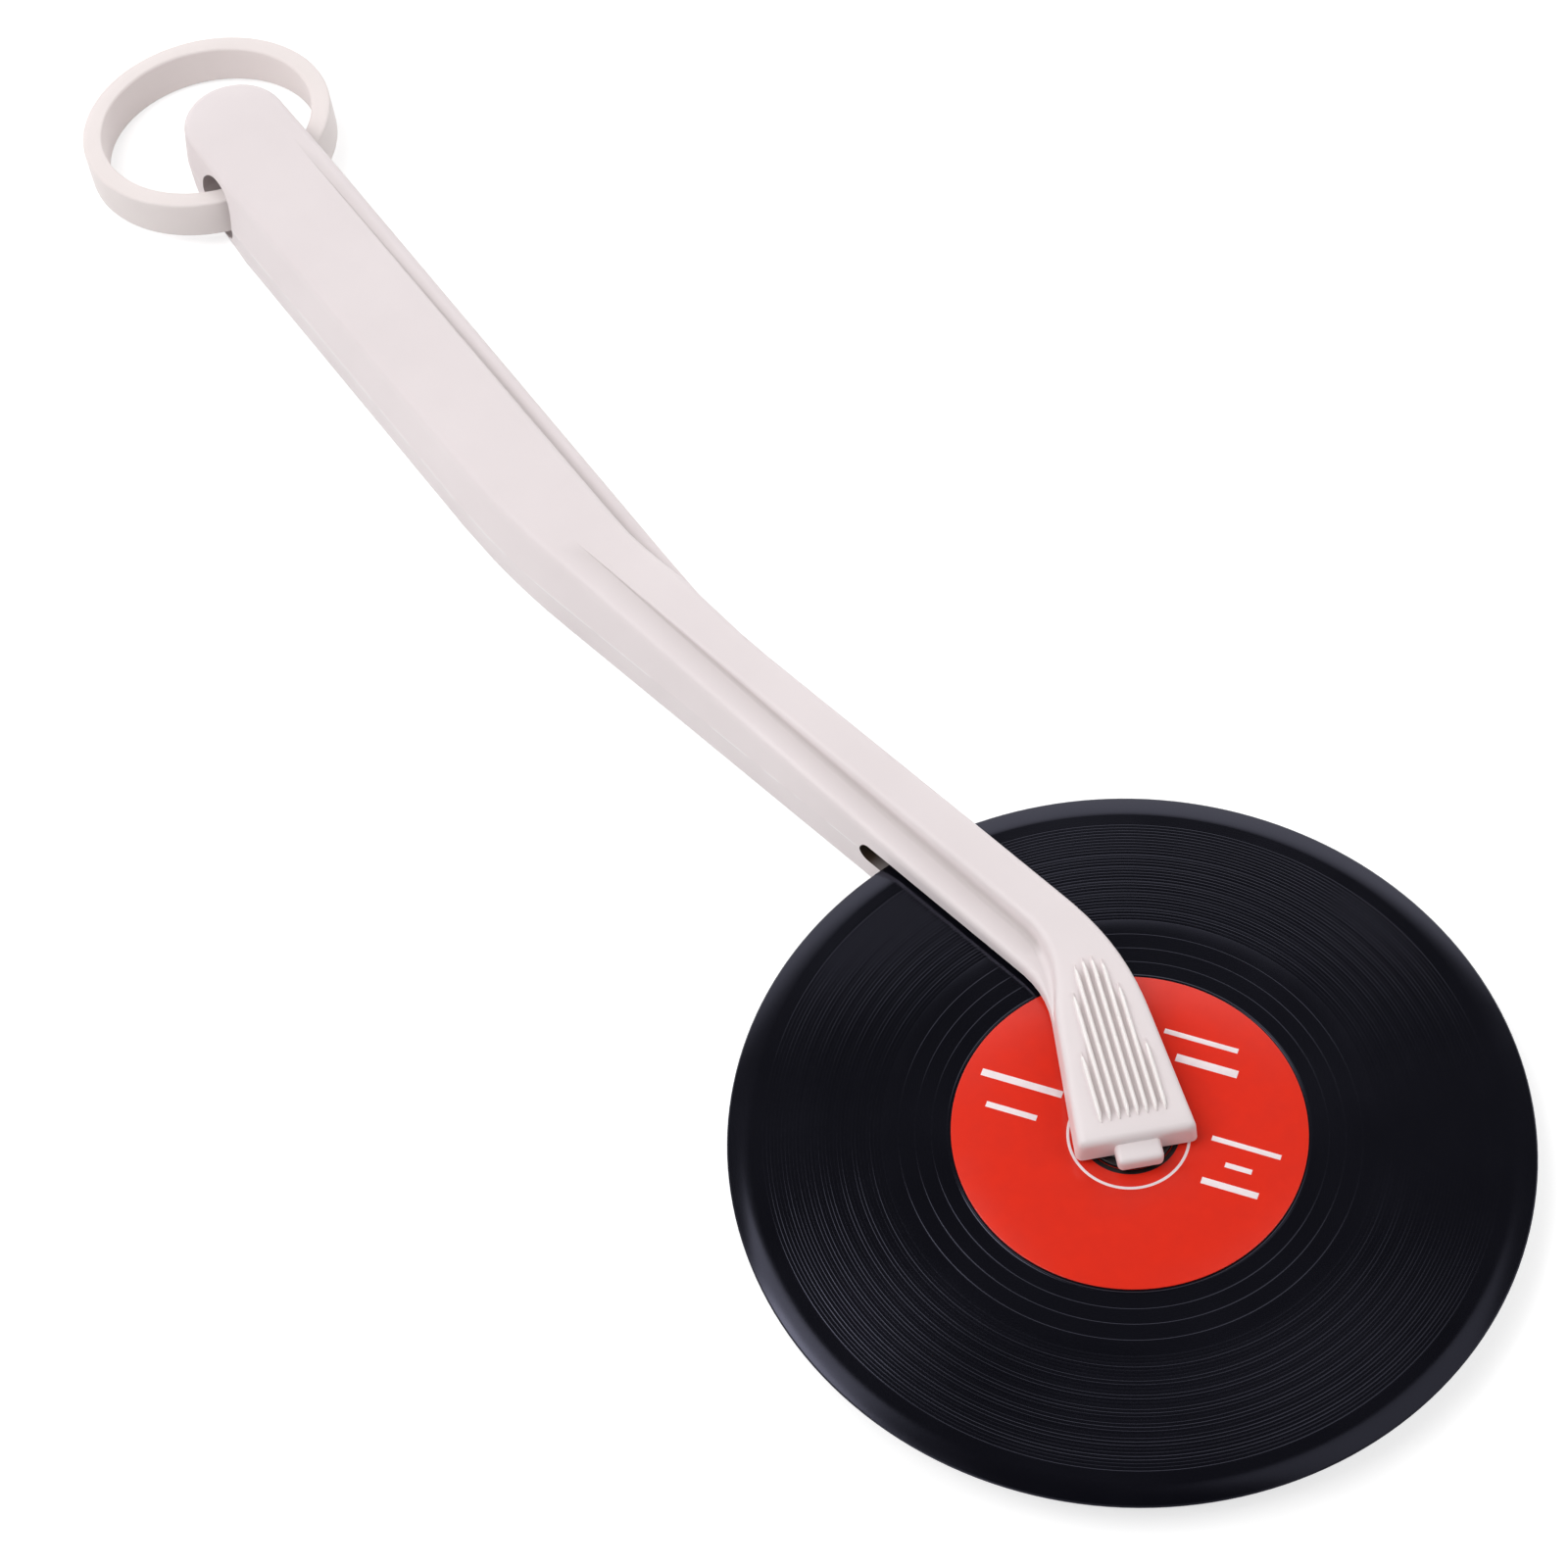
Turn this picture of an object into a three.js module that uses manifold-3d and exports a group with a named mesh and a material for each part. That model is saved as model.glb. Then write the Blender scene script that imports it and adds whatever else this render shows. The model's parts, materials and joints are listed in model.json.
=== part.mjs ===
// Pizza wheel shaped like a record on its player: a black steel disc turns in the
// slot of a pale two-shell handle that is formed as a tone-arm, with a loose ring at its tail.
// Millimetres, +Z up. The origin lies on the flat underside, below the axle of the disc.

import * as THREE from 'three';
import { mergeVertices } from 'three/addons/utils/BufferGeometryUtils.js';
import { RoundedBoxGeometry } from 'three/addons/geometries/RoundedBoxGeometry.js';
import Module from 'manifold-3d';

const wasm = await Module();
wasm.setup();
const { clamp, degToRad, lerp, smoothstep } = THREE.MathUtils;

// Clearances
const GLUE_GAP = 0.03;
const RUNNING_GAP = 0.1;
const SEAT_GAP = 0.05;
const PIN_END_GAP = 0.2;
const CUT_MARGIN = 1;

// Blade, its labels and its hub
const BLADE_RADIUS = 50;
const BLADE_THICKNESS = 1;
const BEVEL_WIDTH = 2.8;
const EDGE_THICKNESS = 0.12;
const LABEL_RADIUS = 22.1;
const LABEL_THICKNESS = 0.2;
const BUSH_BARREL_RADIUS = 4;
const BUSH_FLANGE_RADIUS = 5.6;
const BUSH_FLANGE_THICKNESS = 0.5;
const WASHER_RADIUS = 4.8;
const WASHER_THICKNESS = 0.35;

// Axle pin, held in blind holes of both tines
const AXLE_RADIUS = 2;
const AXLE_UPPER_DEPTH = 2.3;
const AXLE_LOWER_DEPTH = 2.8;
const AXLE_CHAMFER = 0.3;

// Plan of the handle on its parting plane, with the axle at the origin
const TAIL_X = -215.5;
const GRIP_WIDTH = 19.3;
const GRIP_LEFT_Y = -15.1;
const TAIL_PINCH = 1.25;
const TAIL_PINCH_LENGTH = 14;
const GRIP_NARROWING = 1.07;
const LEFT_BEND_X = -124.8;
const RIGHT_BEND_X = -92;
const ARM_ANGLE = degToRad(9.4);
const ARM_TAPER = degToRad(0.5);
const HEAD_ANGLE = degToRad(-24.8);
const HEAD_LEFT_TAPER = degToRad(3.2);
const HEAD_RIGHT_TAPER = degToRad(6.8);
const HEAD_LEFT_WIDTH = 7.6;
const HEAD_RIGHT_WIDTH = 8.1;
const HEAD_FRONT = 3.7;
const LEFT_BEND_ROUND = 12;
const RIGHT_BEND_ROUND = 8;
const LEFT_NECK_ROUND = 4.4;
const RIGHT_NECK_ROUND = 9.6;
const SPINE_BEND_ROUND = 20;
const SPINE_NECK_ROUND = 9;

// Heights of the handle above and below its parting plane
const GRIP_TOP = 6.5;
const HEAD_TOP = 5.2;
const UNDERSIDE = 6;
const SLOT_HALF_HEIGHT = 1.5;
const SLOT_REACH = 54.2;

// Walls, ledges and rounded edges of the handle
const GRIP_WALL_SLANT = 0.3;
const HEAD_WALL_SLANT = 0.08;
const LOWER_WALL_SLANT = 0.04;
const STEP_SLANT = 0.15;
const LEFT_LEDGE_WIDTH = 3.9;
const LEFT_LEDGE_FALL = 0.0365;
const LEFT_LEDGE_LEAD = 8.8;
const LEFT_LEDGE_FADE = 16;
const LEFT_LEDGE_TAIL = 7;
const RIGHT_LEDGE_WIDTH = 2.6;
const RIGHT_LEDGE_FALL = 0.035;
const RIGHT_LEDGE_LEAD = 11;
const RIGHT_LEDGE_FADE = 23;
const TOP_ROUND = 1.1;
const CREASE_ROUND = 0.9;
const UNDERSIDE_ROUND = 0.9;
const FRONT_ROUND = 0.9;

// Ridges and nose tab of the headshell
const RIDGE_PAIRS = 4;
const RIDGE_PITCH = 1.17;
const RIDGE_WIDTH = 0.66;
const RIDGE_CREST = 0.12;
const RIDGE_HEIGHT = 0.42;
const RIDGE_ROUND = 0.22;
const RIDGE_ROOT = 0.3;
const RIDGE_POINT = 2;
const RIDGE_TIP = 1.2;
const RIDGE_ANGLE = degToRad(-22.3);
const RIDGE_SHIFT = 0.28;
const RIDGE_START = -22.5;
const RIDGE_END = 0.9;
const RIDGE_STAGGER = 0.8;
const RIDGE_STAGGER_POWER = 2.55;
const TAB_WIDTH = 5.8;
const TAB_REACH = 2.6;
const TAB_ROOT = 1.2;
const TAB_HEIGHT = 2.45;
const TAB_OFFSET = 0.17;
const TAB_ROUND = 0.75;

// Hanging ring and the hole that it swings in
const RING_RADIUS = 19.2;
const RING_BAND = 3;
const RING_HEIGHT = 6.2;
const RING_CHAMFER = 0.3;
const RING_HOLE_RADIUS = 5;
const RING_HOLE_FROM_END = 16.9;
const RING_SIDE_SHIFT = -2;
const RING_PAST_AXIS = 3.9;
const RING_SETBACK = RING_RADIUS - RING_PAST_AXIS;
const RING_DROOP = degToRad(4.6);

// Screws that close the shells from below, and the locating pegs between them
const SCREW_COUNT = 4;
const SCREW_TAIL_MARGIN = 30;
const SCREW_SLOT_MARGIN = 23;
const SCREW_HEAD_RADIUS = 2.3;
const SCREW_HEAD_HEIGHT = 1.6;
const SCREW_SHANK_RADIUS = 1.25;
const SCREW_GRIP_ABOVE = 2.6;
const SCREW_POINT = 1;
const SCREW_RECESS = 0.8;
const SCREW_HEAD_GAP = 0.3;
const PEG_RADIUS = 1.6;
const PEG_HEIGHT = 2.2;
const PEG_CLEARANCE = 0.15;

// Facets
const BLADE_FACETS = 96;
const LABEL_FACETS = 64;
const HUB_FACETS = 40;
const TAIL_FACETS = 40;
const RING_FACETS = 64;
const SCREW_FACETS = 20;
const HOLE_FACETS = 32;
const CORNER_STEPS = 4;
const TAB_STEPS = 3;
const STATION_STEPS = [8, 4, 6, 2, 3];
const BEND_DIVISIONS = 12;

// Solids and meshes

function flipped(index) {
  const turned = index.slice();
  for (let i = 0; i < turned.length; i += 3) {
    [turned[i + 1], turned[i + 2]] = [turned[i + 2], turned[i + 1]];
  }
  return turned;
}

function signedVolume(positions, index) {
  const corner = (k) => new THREE.Vector3().fromArray(positions, 3 * index[k]);
  let volume = 0;
  for (let i = 0; i < index.length; i += 3) {
    volume += corner(i).dot(corner(i + 1).cross(corner(i + 2))) / 6;
  }
  return volume;
}

// Merges a geometry to shared corners, drops its folded triangles and turns its faces out.
function solidOf(geometry) {
  const bare = new THREE.BufferGeometry();
  bare.setAttribute('position', geometry.getAttribute('position').clone());
  bare.setIndex(geometry.index);
  const merged = mergeVertices(bare, 1e-4);
  const source = merged.index.array;
  const kept = [];
  for (let i = 0; i < source.length; i += 3) {
    const [a, b, c] = source.slice(i, i + 3);
    if (a !== b && b !== c && c !== a) kept.push(a, b, c);
  }
  const vertProperties = new Float32Array(merged.getAttribute('position').array);
  const outward = signedVolume(vertProperties, kept) > 0 ? kept : flipped(kept);
  const triVerts = new Uint32Array(outward);
  return new wasm.Manifold(new wasm.Mesh({ numProp: 3, vertProperties, triVerts }));
}

function geometryOf(solid) {
  const mesh = solid.getMesh();
  const geometry = new THREE.BufferGeometry();
  geometry.setAttribute('position', new THREE.BufferAttribute(mesh.vertProperties, 3));
  geometry.setIndex(new THREE.BufferAttribute(mesh.triVerts, 1));
  geometry.computeVertexNormals();
  return geometry;
}

function joined(first, ...others) {
  return others.reduce((sum, geometry) => sum.add(solidOf(geometry)), first);
}

function cutBy(first, ...cutters) {
  return cutters.reduce((rest, geometry) => rest.subtract(solidOf(geometry)), first);
}

function named(name, geometry, color, roughness, metalness = 0) {
  const material = new THREE.MeshStandardMaterial({ color, roughness, metalness });
  const mesh = new THREE.Mesh(geometry, material);
  mesh.name = name;
  return mesh;
}

// A turned piece: pairs of radius and height, closed on the axis or on itself.
function turned(profile, facets) {
  const points = profile.map(([radius, height]) => new THREE.Vector2(radius, height));
  const geometry = new THREE.LatheGeometry(points, facets);
  geometry.rotateX(Math.PI / 2);
  return geometry;
}

function uprightCylinder(radius, low, high, facets) {
  const geometry = new THREE.CylinderGeometry(radius, radius, high - low, facets);
  geometry.rotateX(Math.PI / 2);
  geometry.translate(0, 0, (low + high) / 2);
  return geometry;
}

// A flat ring with a square section.
function washer(inner, outer, low, high, facets) {
  const profile = [[inner, low], [outer, low], [outer, high], [inner, high], [inner, low]];
  return geometryOf(solidOf(turned(profile, facets)));
}

// Plan of the handle

const direction = (angle) => new THREE.Vector2(Math.cos(angle), Math.sin(angle));
const along = (point, angle, distance) => point.clone().addScaledVector(direction(angle), distance);

// Point where two lines in the plan meet, each given by a point and an angle.
function meeting(first, firstAngle, second, secondAngle) {
  const a = direction(firstAngle);
  const b = direction(secondAngle);
  const between = second.clone().sub(first);
  const reach = between.cross(b) / a.cross(b);
  return first.clone().addScaledVector(a, reach);
}

// Straight stretches joined by rounded corners, from the tail to the front.
function roundedPath(corners, rounds) {
  const path = new THREE.Path();
  path.moveTo(corners[0].x, corners[0].y);
  rounds.forEach((round, i) => {
    const [before, corner, after] = corners.slice(i, i + 3);
    const entry = corner.clone().add(before.clone().sub(corner).setLength(round));
    const leave = corner.clone().add(after.clone().sub(corner).setLength(round));
    path.lineTo(entry.x, entry.y);
    path.quadraticCurveTo(corner.x, corner.y, leave.x, leave.y);
  });
  const last = corners.at(-1);
  path.lineTo(last.x, last.y);
  return path;
}

const axle = new THREE.Vector2(0, 0);
const headFront = along(axle, HEAD_ANGLE, HEAD_FRONT);
const headLeft = along(headFront, HEAD_ANGLE - Math.PI / 2, HEAD_LEFT_WIDTH);
const headRight = along(headFront, HEAD_ANGLE + Math.PI / 2, HEAD_RIGHT_WIDTH);
const tailCentre = new THREE.Vector2(TAIL_X, GRIP_LEFT_Y + GRIP_WIDTH / 2);
const tailRadius = GRIP_WIDTH / 2 - TAIL_PINCH;
const tailEnd = TAIL_X - tailRadius;
const leftBend = new THREE.Vector2(LEFT_BEND_X, GRIP_LEFT_Y);
const rightBend = new THREE.Vector2(RIGHT_BEND_X, GRIP_LEFT_Y + GRIP_WIDTH - GRIP_NARROWING);
const leftHeadAngle = HEAD_ANGLE - HEAD_LEFT_TAPER;
const rightHeadAngle = HEAD_ANGLE + HEAD_RIGHT_TAPER;
const leftNeck = meeting(leftBend, ARM_ANGLE + ARM_TAPER, headLeft, leftHeadAngle);
const rightNeck = meeting(rightBend, ARM_ANGLE - ARM_TAPER, headRight, rightHeadAngle);

const leftOutline = roundedPath(
  [
    new THREE.Vector2(TAIL_X - CUT_MARGIN, GRIP_LEFT_Y),
    leftBend,
    leftNeck,
    along(headLeft, leftHeadAngle, CUT_MARGIN),
  ],
  [LEFT_BEND_ROUND, LEFT_NECK_ROUND],
).getPoints(BEND_DIVISIONS);

const rightOutline = roundedPath(
  [
    new THREE.Vector2(TAIL_X - CUT_MARGIN, GRIP_LEFT_Y + GRIP_WIDTH),
    new THREE.Vector2(TAIL_X, GRIP_LEFT_Y + GRIP_WIDTH),
    rightBend,
    rightNeck,
    along(headRight, rightHeadAngle, CUT_MARGIN),
  ],
  [0, RIGHT_BEND_ROUND, RIGHT_NECK_ROUND],
).getPoints(BEND_DIVISIONS);

const spineBend = new THREE.Vector2((LEFT_BEND_X + RIGHT_BEND_X) / 2, tailCentre.y);
const spineNeck = leftNeck.clone().lerp(rightNeck, 0.5);
const spine = roundedPath(
  [tailCentre, spineBend, spineNeck, headFront],
  [SPINE_BEND_ROUND, SPINE_NECK_ROUND],
);

// Distance from a point, along a direction, to an outline in the plan.
function distanceTo(outline, origin, heading) {
  let nearest = Infinity;
  for (let i = 0; i + 1 < outline.length; i += 1) {
    const edge = outline[i + 1].clone().sub(outline[i]);
    const toEdge = outline[i].clone().sub(origin);
    const turn = heading.cross(edge);
    const share = toEdge.cross(heading) / turn;
    const reach = toEdge.cross(edge) / turn;
    const inside = share > -1e-6 && share < 1 + 1e-6;
    if (inside && Math.abs(reach) < Math.abs(nearest)) nearest = reach;
  }
  return nearest;
}

// Point of the spine at a given X.
function spineAt(x) {
  const start = new THREE.Vector2(x, 0);
  const across = new THREE.Vector2(0, 1);
  return start.addScaledVector(across, distanceTo(spine.getPoints(BEND_DIVISIONS), start, across));
}

// Stations of the loft along the spine, closing on the rounded front edge
function stations() {
  const list = [];
  spine.curves.forEach((curve, i) => {
    const count = Math.ceil(curve.getLength() / STATION_STEPS[i]);
    for (let step = 0; step < count; step += 1) {
      const share = step / count;
      list.push({ point: curve.getPoint(share), tangent: curve.getTangent(share), inset: 0 });
    }
  });
  const tangent = direction(HEAD_ANGLE);
  for (let step = 0; step <= CORNER_STEPS; step += 1) {
    const angle = (Math.PI / 2) * (step / CORNER_STEPS);
    const back = FRONT_ROUND * (1 - Math.sin(angle));
    const inset = FRONT_ROUND * (1 - Math.cos(angle));
    list.push({ point: along(headFront, HEAD_ANGLE, -back), tangent, inset });
  }
  return list;
}

// Sections of the two shells

// Rounds the corners of a section, each given as distance across, height and rounding.
function roundedSection(corners) {
  const points = corners.map(([across, height]) => new THREE.Vector2(across, height));
  const rounded = [points[0]];
  for (let i = 1; i + 1 < points.length; i += 1) {
    const toBefore = points[i - 1].clone().sub(points[i]);
    const toAfter = points[i + 1].clone().sub(points[i]);
    const cut = Math.min(corners[i][2], 0.45 * toBefore.length(), 0.45 * toAfter.length());
    const entry = points[i].clone().add(toBefore.setLength(cut));
    const leave = points[i].clone().add(toAfter.setLength(cut));
    const curve = new THREE.QuadraticBezierCurve(entry, points[i], leave);
    rounded.push(...curve.getPoints(CORNER_STEPS));
  }
  rounded.push(points.at(-1));
  return rounded;
}

// The strip on top falls away towards the headshell in one long curve.
function stripTop(x) {
  const share = clamp((x - spineBend.x) / (headFront.x - spineBend.x), 0, 1);
  return GRIP_TOP - (GRIP_TOP - HEAD_TOP) * share ** 2;
}

// The foot of both walls draws in towards the round tail, while their top edge runs straight.
function tailPinch(x) {
  return TAIL_PINCH * (1 - smoothstep(x, TAIL_X, TAIL_X + TAIL_PINCH_LENGTH));
}

function wallSlant(x) {
  const share = clamp((x - spineBend.x) / (spineNeck.x - spineBend.x), 0, 1);
  return lerp(GRIP_WALL_SLANT, HEAD_WALL_SLANT, share) - tailPinch(x) / GRIP_TOP;
}

// Left ledge: sinks from the bend onwards and narrows to a point at the neck.
function leftLedge(x) {
  const start = LEFT_BEND_X + LEFT_LEDGE_LEAD;
  const end = leftNeck.x + LEFT_LEDGE_TAIL;
  const drop = Math.max(0, LEFT_LEDGE_FALL * (x - start));
  const width = LEFT_LEDGE_WIDTH * (1 - smoothstep(x, end - LEFT_LEDGE_FADE, end));
  return { height: Math.min(GRIP_TOP - drop, stripTop(x)), width };
}

// Right ledge: sinks along the grip until the strip crosses over to the right wall.
function rightLedge(x) {
  const start = TAIL_X + RIGHT_LEDGE_LEAD;
  const lowest = RIGHT_LEDGE_FALL * (RIGHT_BEND_X - start);
  const drop = clamp(RIGHT_LEDGE_FALL * (x - start), 0, lowest);
  const width = RIGHT_LEDGE_WIDTH * (1 - smoothstep(x, RIGHT_BEND_X - RIGHT_LEDGE_FADE, RIGHT_BEND_X));
  return { height: Math.min(GRIP_TOP - drop, stripTop(x)), width };
}

// Wall, ledge and step of one side, from the parting plane up to the strip.
function sideCorners(ledge, top, slant, inset) {
  const step = lerp(slant, STEP_SLANT, smoothstep(ledge.width, 0, CREASE_ROUND));
  const height = Math.min(ledge.height, top + inset) - inset;
  const wallTop = inset + slant * height;
  const stepFoot = wallTop + ledge.width;
  return [
    [inset, 0, 0],
    [wallTop, height, TOP_ROUND],
    [stepFoot, height, CREASE_ROUND],
    [stepFoot + step * (top - height), top, TOP_ROUND],
  ];
}

function upperSection(x, width, inset) {
  const top = stripTop(x) - inset;
  const slant = wallSlant(x);
  const left = sideCorners(leftLedge(x), top, slant, inset);
  const right = sideCorners(rightLedge(x), top, slant, inset);
  const mirrored = right.map(([across, height, round]) => [width - across, height, round]);
  return roundedSection([...left, ...mirrored.reverse()]);
}

function lowerSection(x, width, inset) {
  const depth = -(UNDERSIDE - inset);
  const foot = inset + LOWER_WALL_SLANT * UNDERSIDE;
  return roundedSection([
    [inset, 0, 0],
    [foot, depth, UNDERSIDE_ROUND],
    [width - foot, depth, UNDERSIDE_ROUND],
    [width - inset, 0, 0],
  ]);
}

// Sweeps a changing section along the spine, between the two outlines of the plan.
function loft(sectionAt) {
  const rows = stations().map(({ point, tangent, inset }) => {
    const across = new THREE.Vector2(-tangent.y, tangent.x);
    const left = distanceTo(leftOutline, point, across) + tailPinch(point.x);
    const right = distanceTo(rightOutline, point, across) - tailPinch(point.x);
    return sectionAt(point.x, right - left, inset).map((corner) => {
      const place = point.clone().addScaledVector(across, left + corner.x);
      return new THREE.Vector3(place.x, place.y, corner.y);
    });
  });
  const size = rows[0].length;
  const index = [];
  for (let row = 0; row + 1 < rows.length; row += 1) {
    for (let column = 0; column < size; column += 1) {
      const next = (column + 1) % size;
      const [a, b] = [row * size + column, row * size + next];
      index.push(a, a + size, b, b, a + size, b + size);
    }
  }
  const points = rows.flat();
  [0, rows.length - 1].forEach((row, end) => {
    const middle = new THREE.Vector3();
    rows[row].forEach((point) => middle.addScaledVector(point, 1 / size));
    points.push(middle);
    for (let column = 0; column < size; column += 1) {
      const rim = [row * size + column, row * size + ((column + 1) % size)];
      index.push(rim[end], rim[1 - end], points.length - 1);
    }
  });
  const geometry = new THREE.BufferGeometry().setFromPoints(points);
  geometry.setIndex(index);
  return geometry;
}

// Round tail with the same wall, edge and height as the first section.
function roundTail(sectionAt) {
  const section = sectionAt(TAIL_X, 2 * tailRadius, 0);
  const half = section.filter((corner) => corner.x < tailRadius);
  const level = half.at(-1).y;
  const rim = half.map((corner) => [tailRadius - corner.x, corner.y]);
  const geometry = turned([[0, 0], ...rim, [0, level]], TAIL_FACETS);
  geometry.translate(tailCentre.x, tailCentre.y, 0);
  return geometry;
}

// Cutters that both shells share

// Slot for the blade, with a round end, open at the front and at both sides.
function slotCutter() {
  const reach = BLADE_RADIUS + HEAD_FRONT;
  const outline = new THREE.Shape();
  outline.moveTo(reach, -SLOT_HALF_HEIGHT);
  outline.lineTo(reach, SLOT_HALF_HEIGHT);
  outline.lineTo(SLOT_HALF_HEIGHT - SLOT_REACH, SLOT_HALF_HEIGHT);
  const centre = SLOT_HALF_HEIGHT - SLOT_REACH;
  outline.absarc(centre, 0, SLOT_HALF_HEIGHT, Math.PI / 2, (3 * Math.PI) / 2, false);
  const width = 2 * BLADE_RADIUS;
  const settings = { depth: width, bevelEnabled: false, curveSegments: HOLE_FACETS / 4 };
  const geometry = new THREE.ExtrudeGeometry(outline, settings);
  geometry.rotateX(Math.PI / 2);
  geometry.translate(0, width / 2, 0);
  geometry.rotateZ(ARM_ANGLE);
  return geometry;
}

function ringHoleCutter() {
  const length = GRIP_WIDTH + 2 * CUT_MARGIN;
  const geometry = new THREE.CylinderGeometry(
    RING_HOLE_RADIUS, RING_HOLE_RADIUS, length, HOLE_FACETS,
  );
  geometry.translate(tailEnd + RING_HOLE_FROM_END, tailCentre.y, 0);
  return geometry;
}

function axleHoleCutter() {
  const low = -(SLOT_HALF_HEIGHT + AXLE_LOWER_DEPTH + PIN_END_GAP);
  const high = SLOT_HALF_HEIGHT + AXLE_UPPER_DEPTH + PIN_END_GAP;
  return uprightCylinder(AXLE_RADIUS + SEAT_GAP, low, high, HUB_FACETS);
}

// Places of the screws and of the locating pegs, spread between the tail and the slot

const slotEndX = -SLOT_REACH * Math.cos(ARM_ANGLE);
const firstScrewX = TAIL_X + SCREW_TAIL_MARGIN;
const lastScrewX = slotEndX - SCREW_SLOT_MARGIN;
const screwPlaces = [];
for (let i = 0; i < SCREW_COUNT; i += 1) {
  screwPlaces.push(spineAt(lerp(firstScrewX, lastScrewX, i / (SCREW_COUNT - 1))));
}
const pegPlaces = [];
for (let i = 0; i + 1 < SCREW_COUNT; i += 1) {
  pegPlaces.push(spineAt((screwPlaces[i].x + screwPlaces[i + 1].x) / 2));
}
const screwFoot = SCREW_RECESS - UNDERSIDE;
const screwSeat = screwFoot + SCREW_HEAD_HEIGHT;

// Stepped hole for one screw: a wide one for its head and a narrow one for its shank.
function screwCutter(place) {
  const wide = SCREW_HEAD_RADIUS + SCREW_HEAD_GAP;
  const narrow = SCREW_SHANK_RADIUS + SEAT_GAP;
  const seat = screwSeat + SEAT_GAP;
  const end = SCREW_GRIP_ABOVE + PIN_END_GAP;
  const below = -UNDERSIDE - CUT_MARGIN;
  const profile = [[0, below], [wide, below], [wide, seat], [narrow, seat], [narrow, end], [0, end]];
  const geometry = turned(profile, SCREW_FACETS);
  geometry.translate(place.x, place.y, 0);
  return geometry;
}

function pegAt(place, radius, low, high) {
  const geometry = uprightCylinder(radius, low, high, SCREW_FACETS);
  geometry.translate(place.x, place.y, 0);
  return geometry;
}

// Headshell details, drawn along the headshell's own axis

// One raised ridge: a slim bead with a rounded crest and drawn-out ends, on the sloping top.
function ridge(pair, side) {
  const offset = RIDGE_SHIFT + side * RIDGE_PITCH * (pair + 0.5);
  const start = RIDGE_START + RIDGE_STAGGER * pair ** RIDGE_STAGGER_POWER;
  const half = RIDGE_WIDTH / 2;
  const outline = new THREE.Shape();
  outline.moveTo(start, 0);
  outline.lineTo(start + RIDGE_POINT, -half);
  outline.lineTo(RIDGE_END - RIDGE_TIP, -half);
  outline.lineTo(RIDGE_END, 0);
  outline.lineTo(RIDGE_END - RIDGE_TIP, half);
  outline.lineTo(start + RIDGE_POINT, half);
  const geometry = new THREE.ExtrudeGeometry(outline, {
    depth: RIDGE_ROOT + RIDGE_HEIGHT - RIDGE_ROUND,
    bevelThickness: RIDGE_ROUND,
    bevelSize: half - RIDGE_CREST,
    bevelOffset: RIDGE_CREST - half,
    bevelSegments: 3,
  });
  const [back, front] = [RIDGE_START, RIDGE_END].map((u) => stripTop(u * Math.cos(RIDGE_ANGLE)));
  const slope = (back - front) / (RIDGE_END - RIDGE_START);
  geometry.translate(-RIDGE_END, offset, -RIDGE_ROOT);
  geometry.rotateY(slope);
  geometry.translate(RIDGE_END, 0, front);
  geometry.rotateZ(RIDGE_ANGLE);
  return geometry;
}

// Finger tab at the nose, moulded with the upper shell.
function noseTab() {
  const length = TAB_REACH + TAB_ROOT;
  const geometry = new RoundedBoxGeometry(length, TAB_WIDTH, TAB_HEIGHT, TAB_STEPS, TAB_ROUND);
  const middle = HEAD_FRONT + TAB_REACH - length / 2;
  geometry.translate(middle, TAB_OFFSET, SLOT_HALF_HEIGHT + TAB_HEIGHT / 2);
  geometry.rotateZ(HEAD_ANGLE);
  return geometry;
}

// Handle shells

const COAT = '#eee7e4';

function upperShell() {
  const body = joined(solidOf(loft(upperSection)), roundTail(upperSection));
  const sockets = pegPlaces.map((place) => {
    const top = PEG_HEIGHT + PEG_CLEARANCE;
    return pegAt(place, PEG_RADIUS + PEG_CLEARANCE, -CUT_MARGIN, top);
  });
  const cut = cutBy(
    body, slotCutter(), ringHoleCutter(), axleHoleCutter(), ...screwPlaces.map(screwCutter), ...sockets,
  );
  const ridges = [];
  for (let pair = 0; pair < RIDGE_PAIRS; pair += 1) {
    ridges.push(ridge(pair, -1), ridge(pair, 1));
  }
  return named('upper_shell', geometryOf(joined(cut, noseTab(), ...ridges)), COAT, 0.45);
}

function lowerShell() {
  const body = joined(solidOf(loft(lowerSection)), roundTail(lowerSection));
  const pegs = pegPlaces.map((place) => pegAt(place, PEG_RADIUS, -PEG_HEIGHT, PEG_HEIGHT));
  const cut = cutBy(
    body, slotCutter(), ringHoleCutter(), axleHoleCutter(), ...screwPlaces.map(screwCutter),
  );
  return named('lower_shell', geometryOf(joined(cut, ...pegs)), COAT, 0.45);
}

function axlePin() {
  const low = -(SLOT_HALF_HEIGHT + AXLE_LOWER_DEPTH);
  const high = SLOT_HALF_HEIGHT + AXLE_UPPER_DEPTH;
  const small = AXLE_RADIUS - AXLE_CHAMFER;
  const profile = [
    [0, low], [small, low], [AXLE_RADIUS, low + AXLE_CHAMFER],
    [AXLE_RADIUS, high - AXLE_CHAMFER], [small, high], [0, high],
  ];
  return named('axle_pin', geometryOf(solidOf(turned(profile, HUB_FACETS))), '#b9bcc0', 0.3, 1);
}

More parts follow.
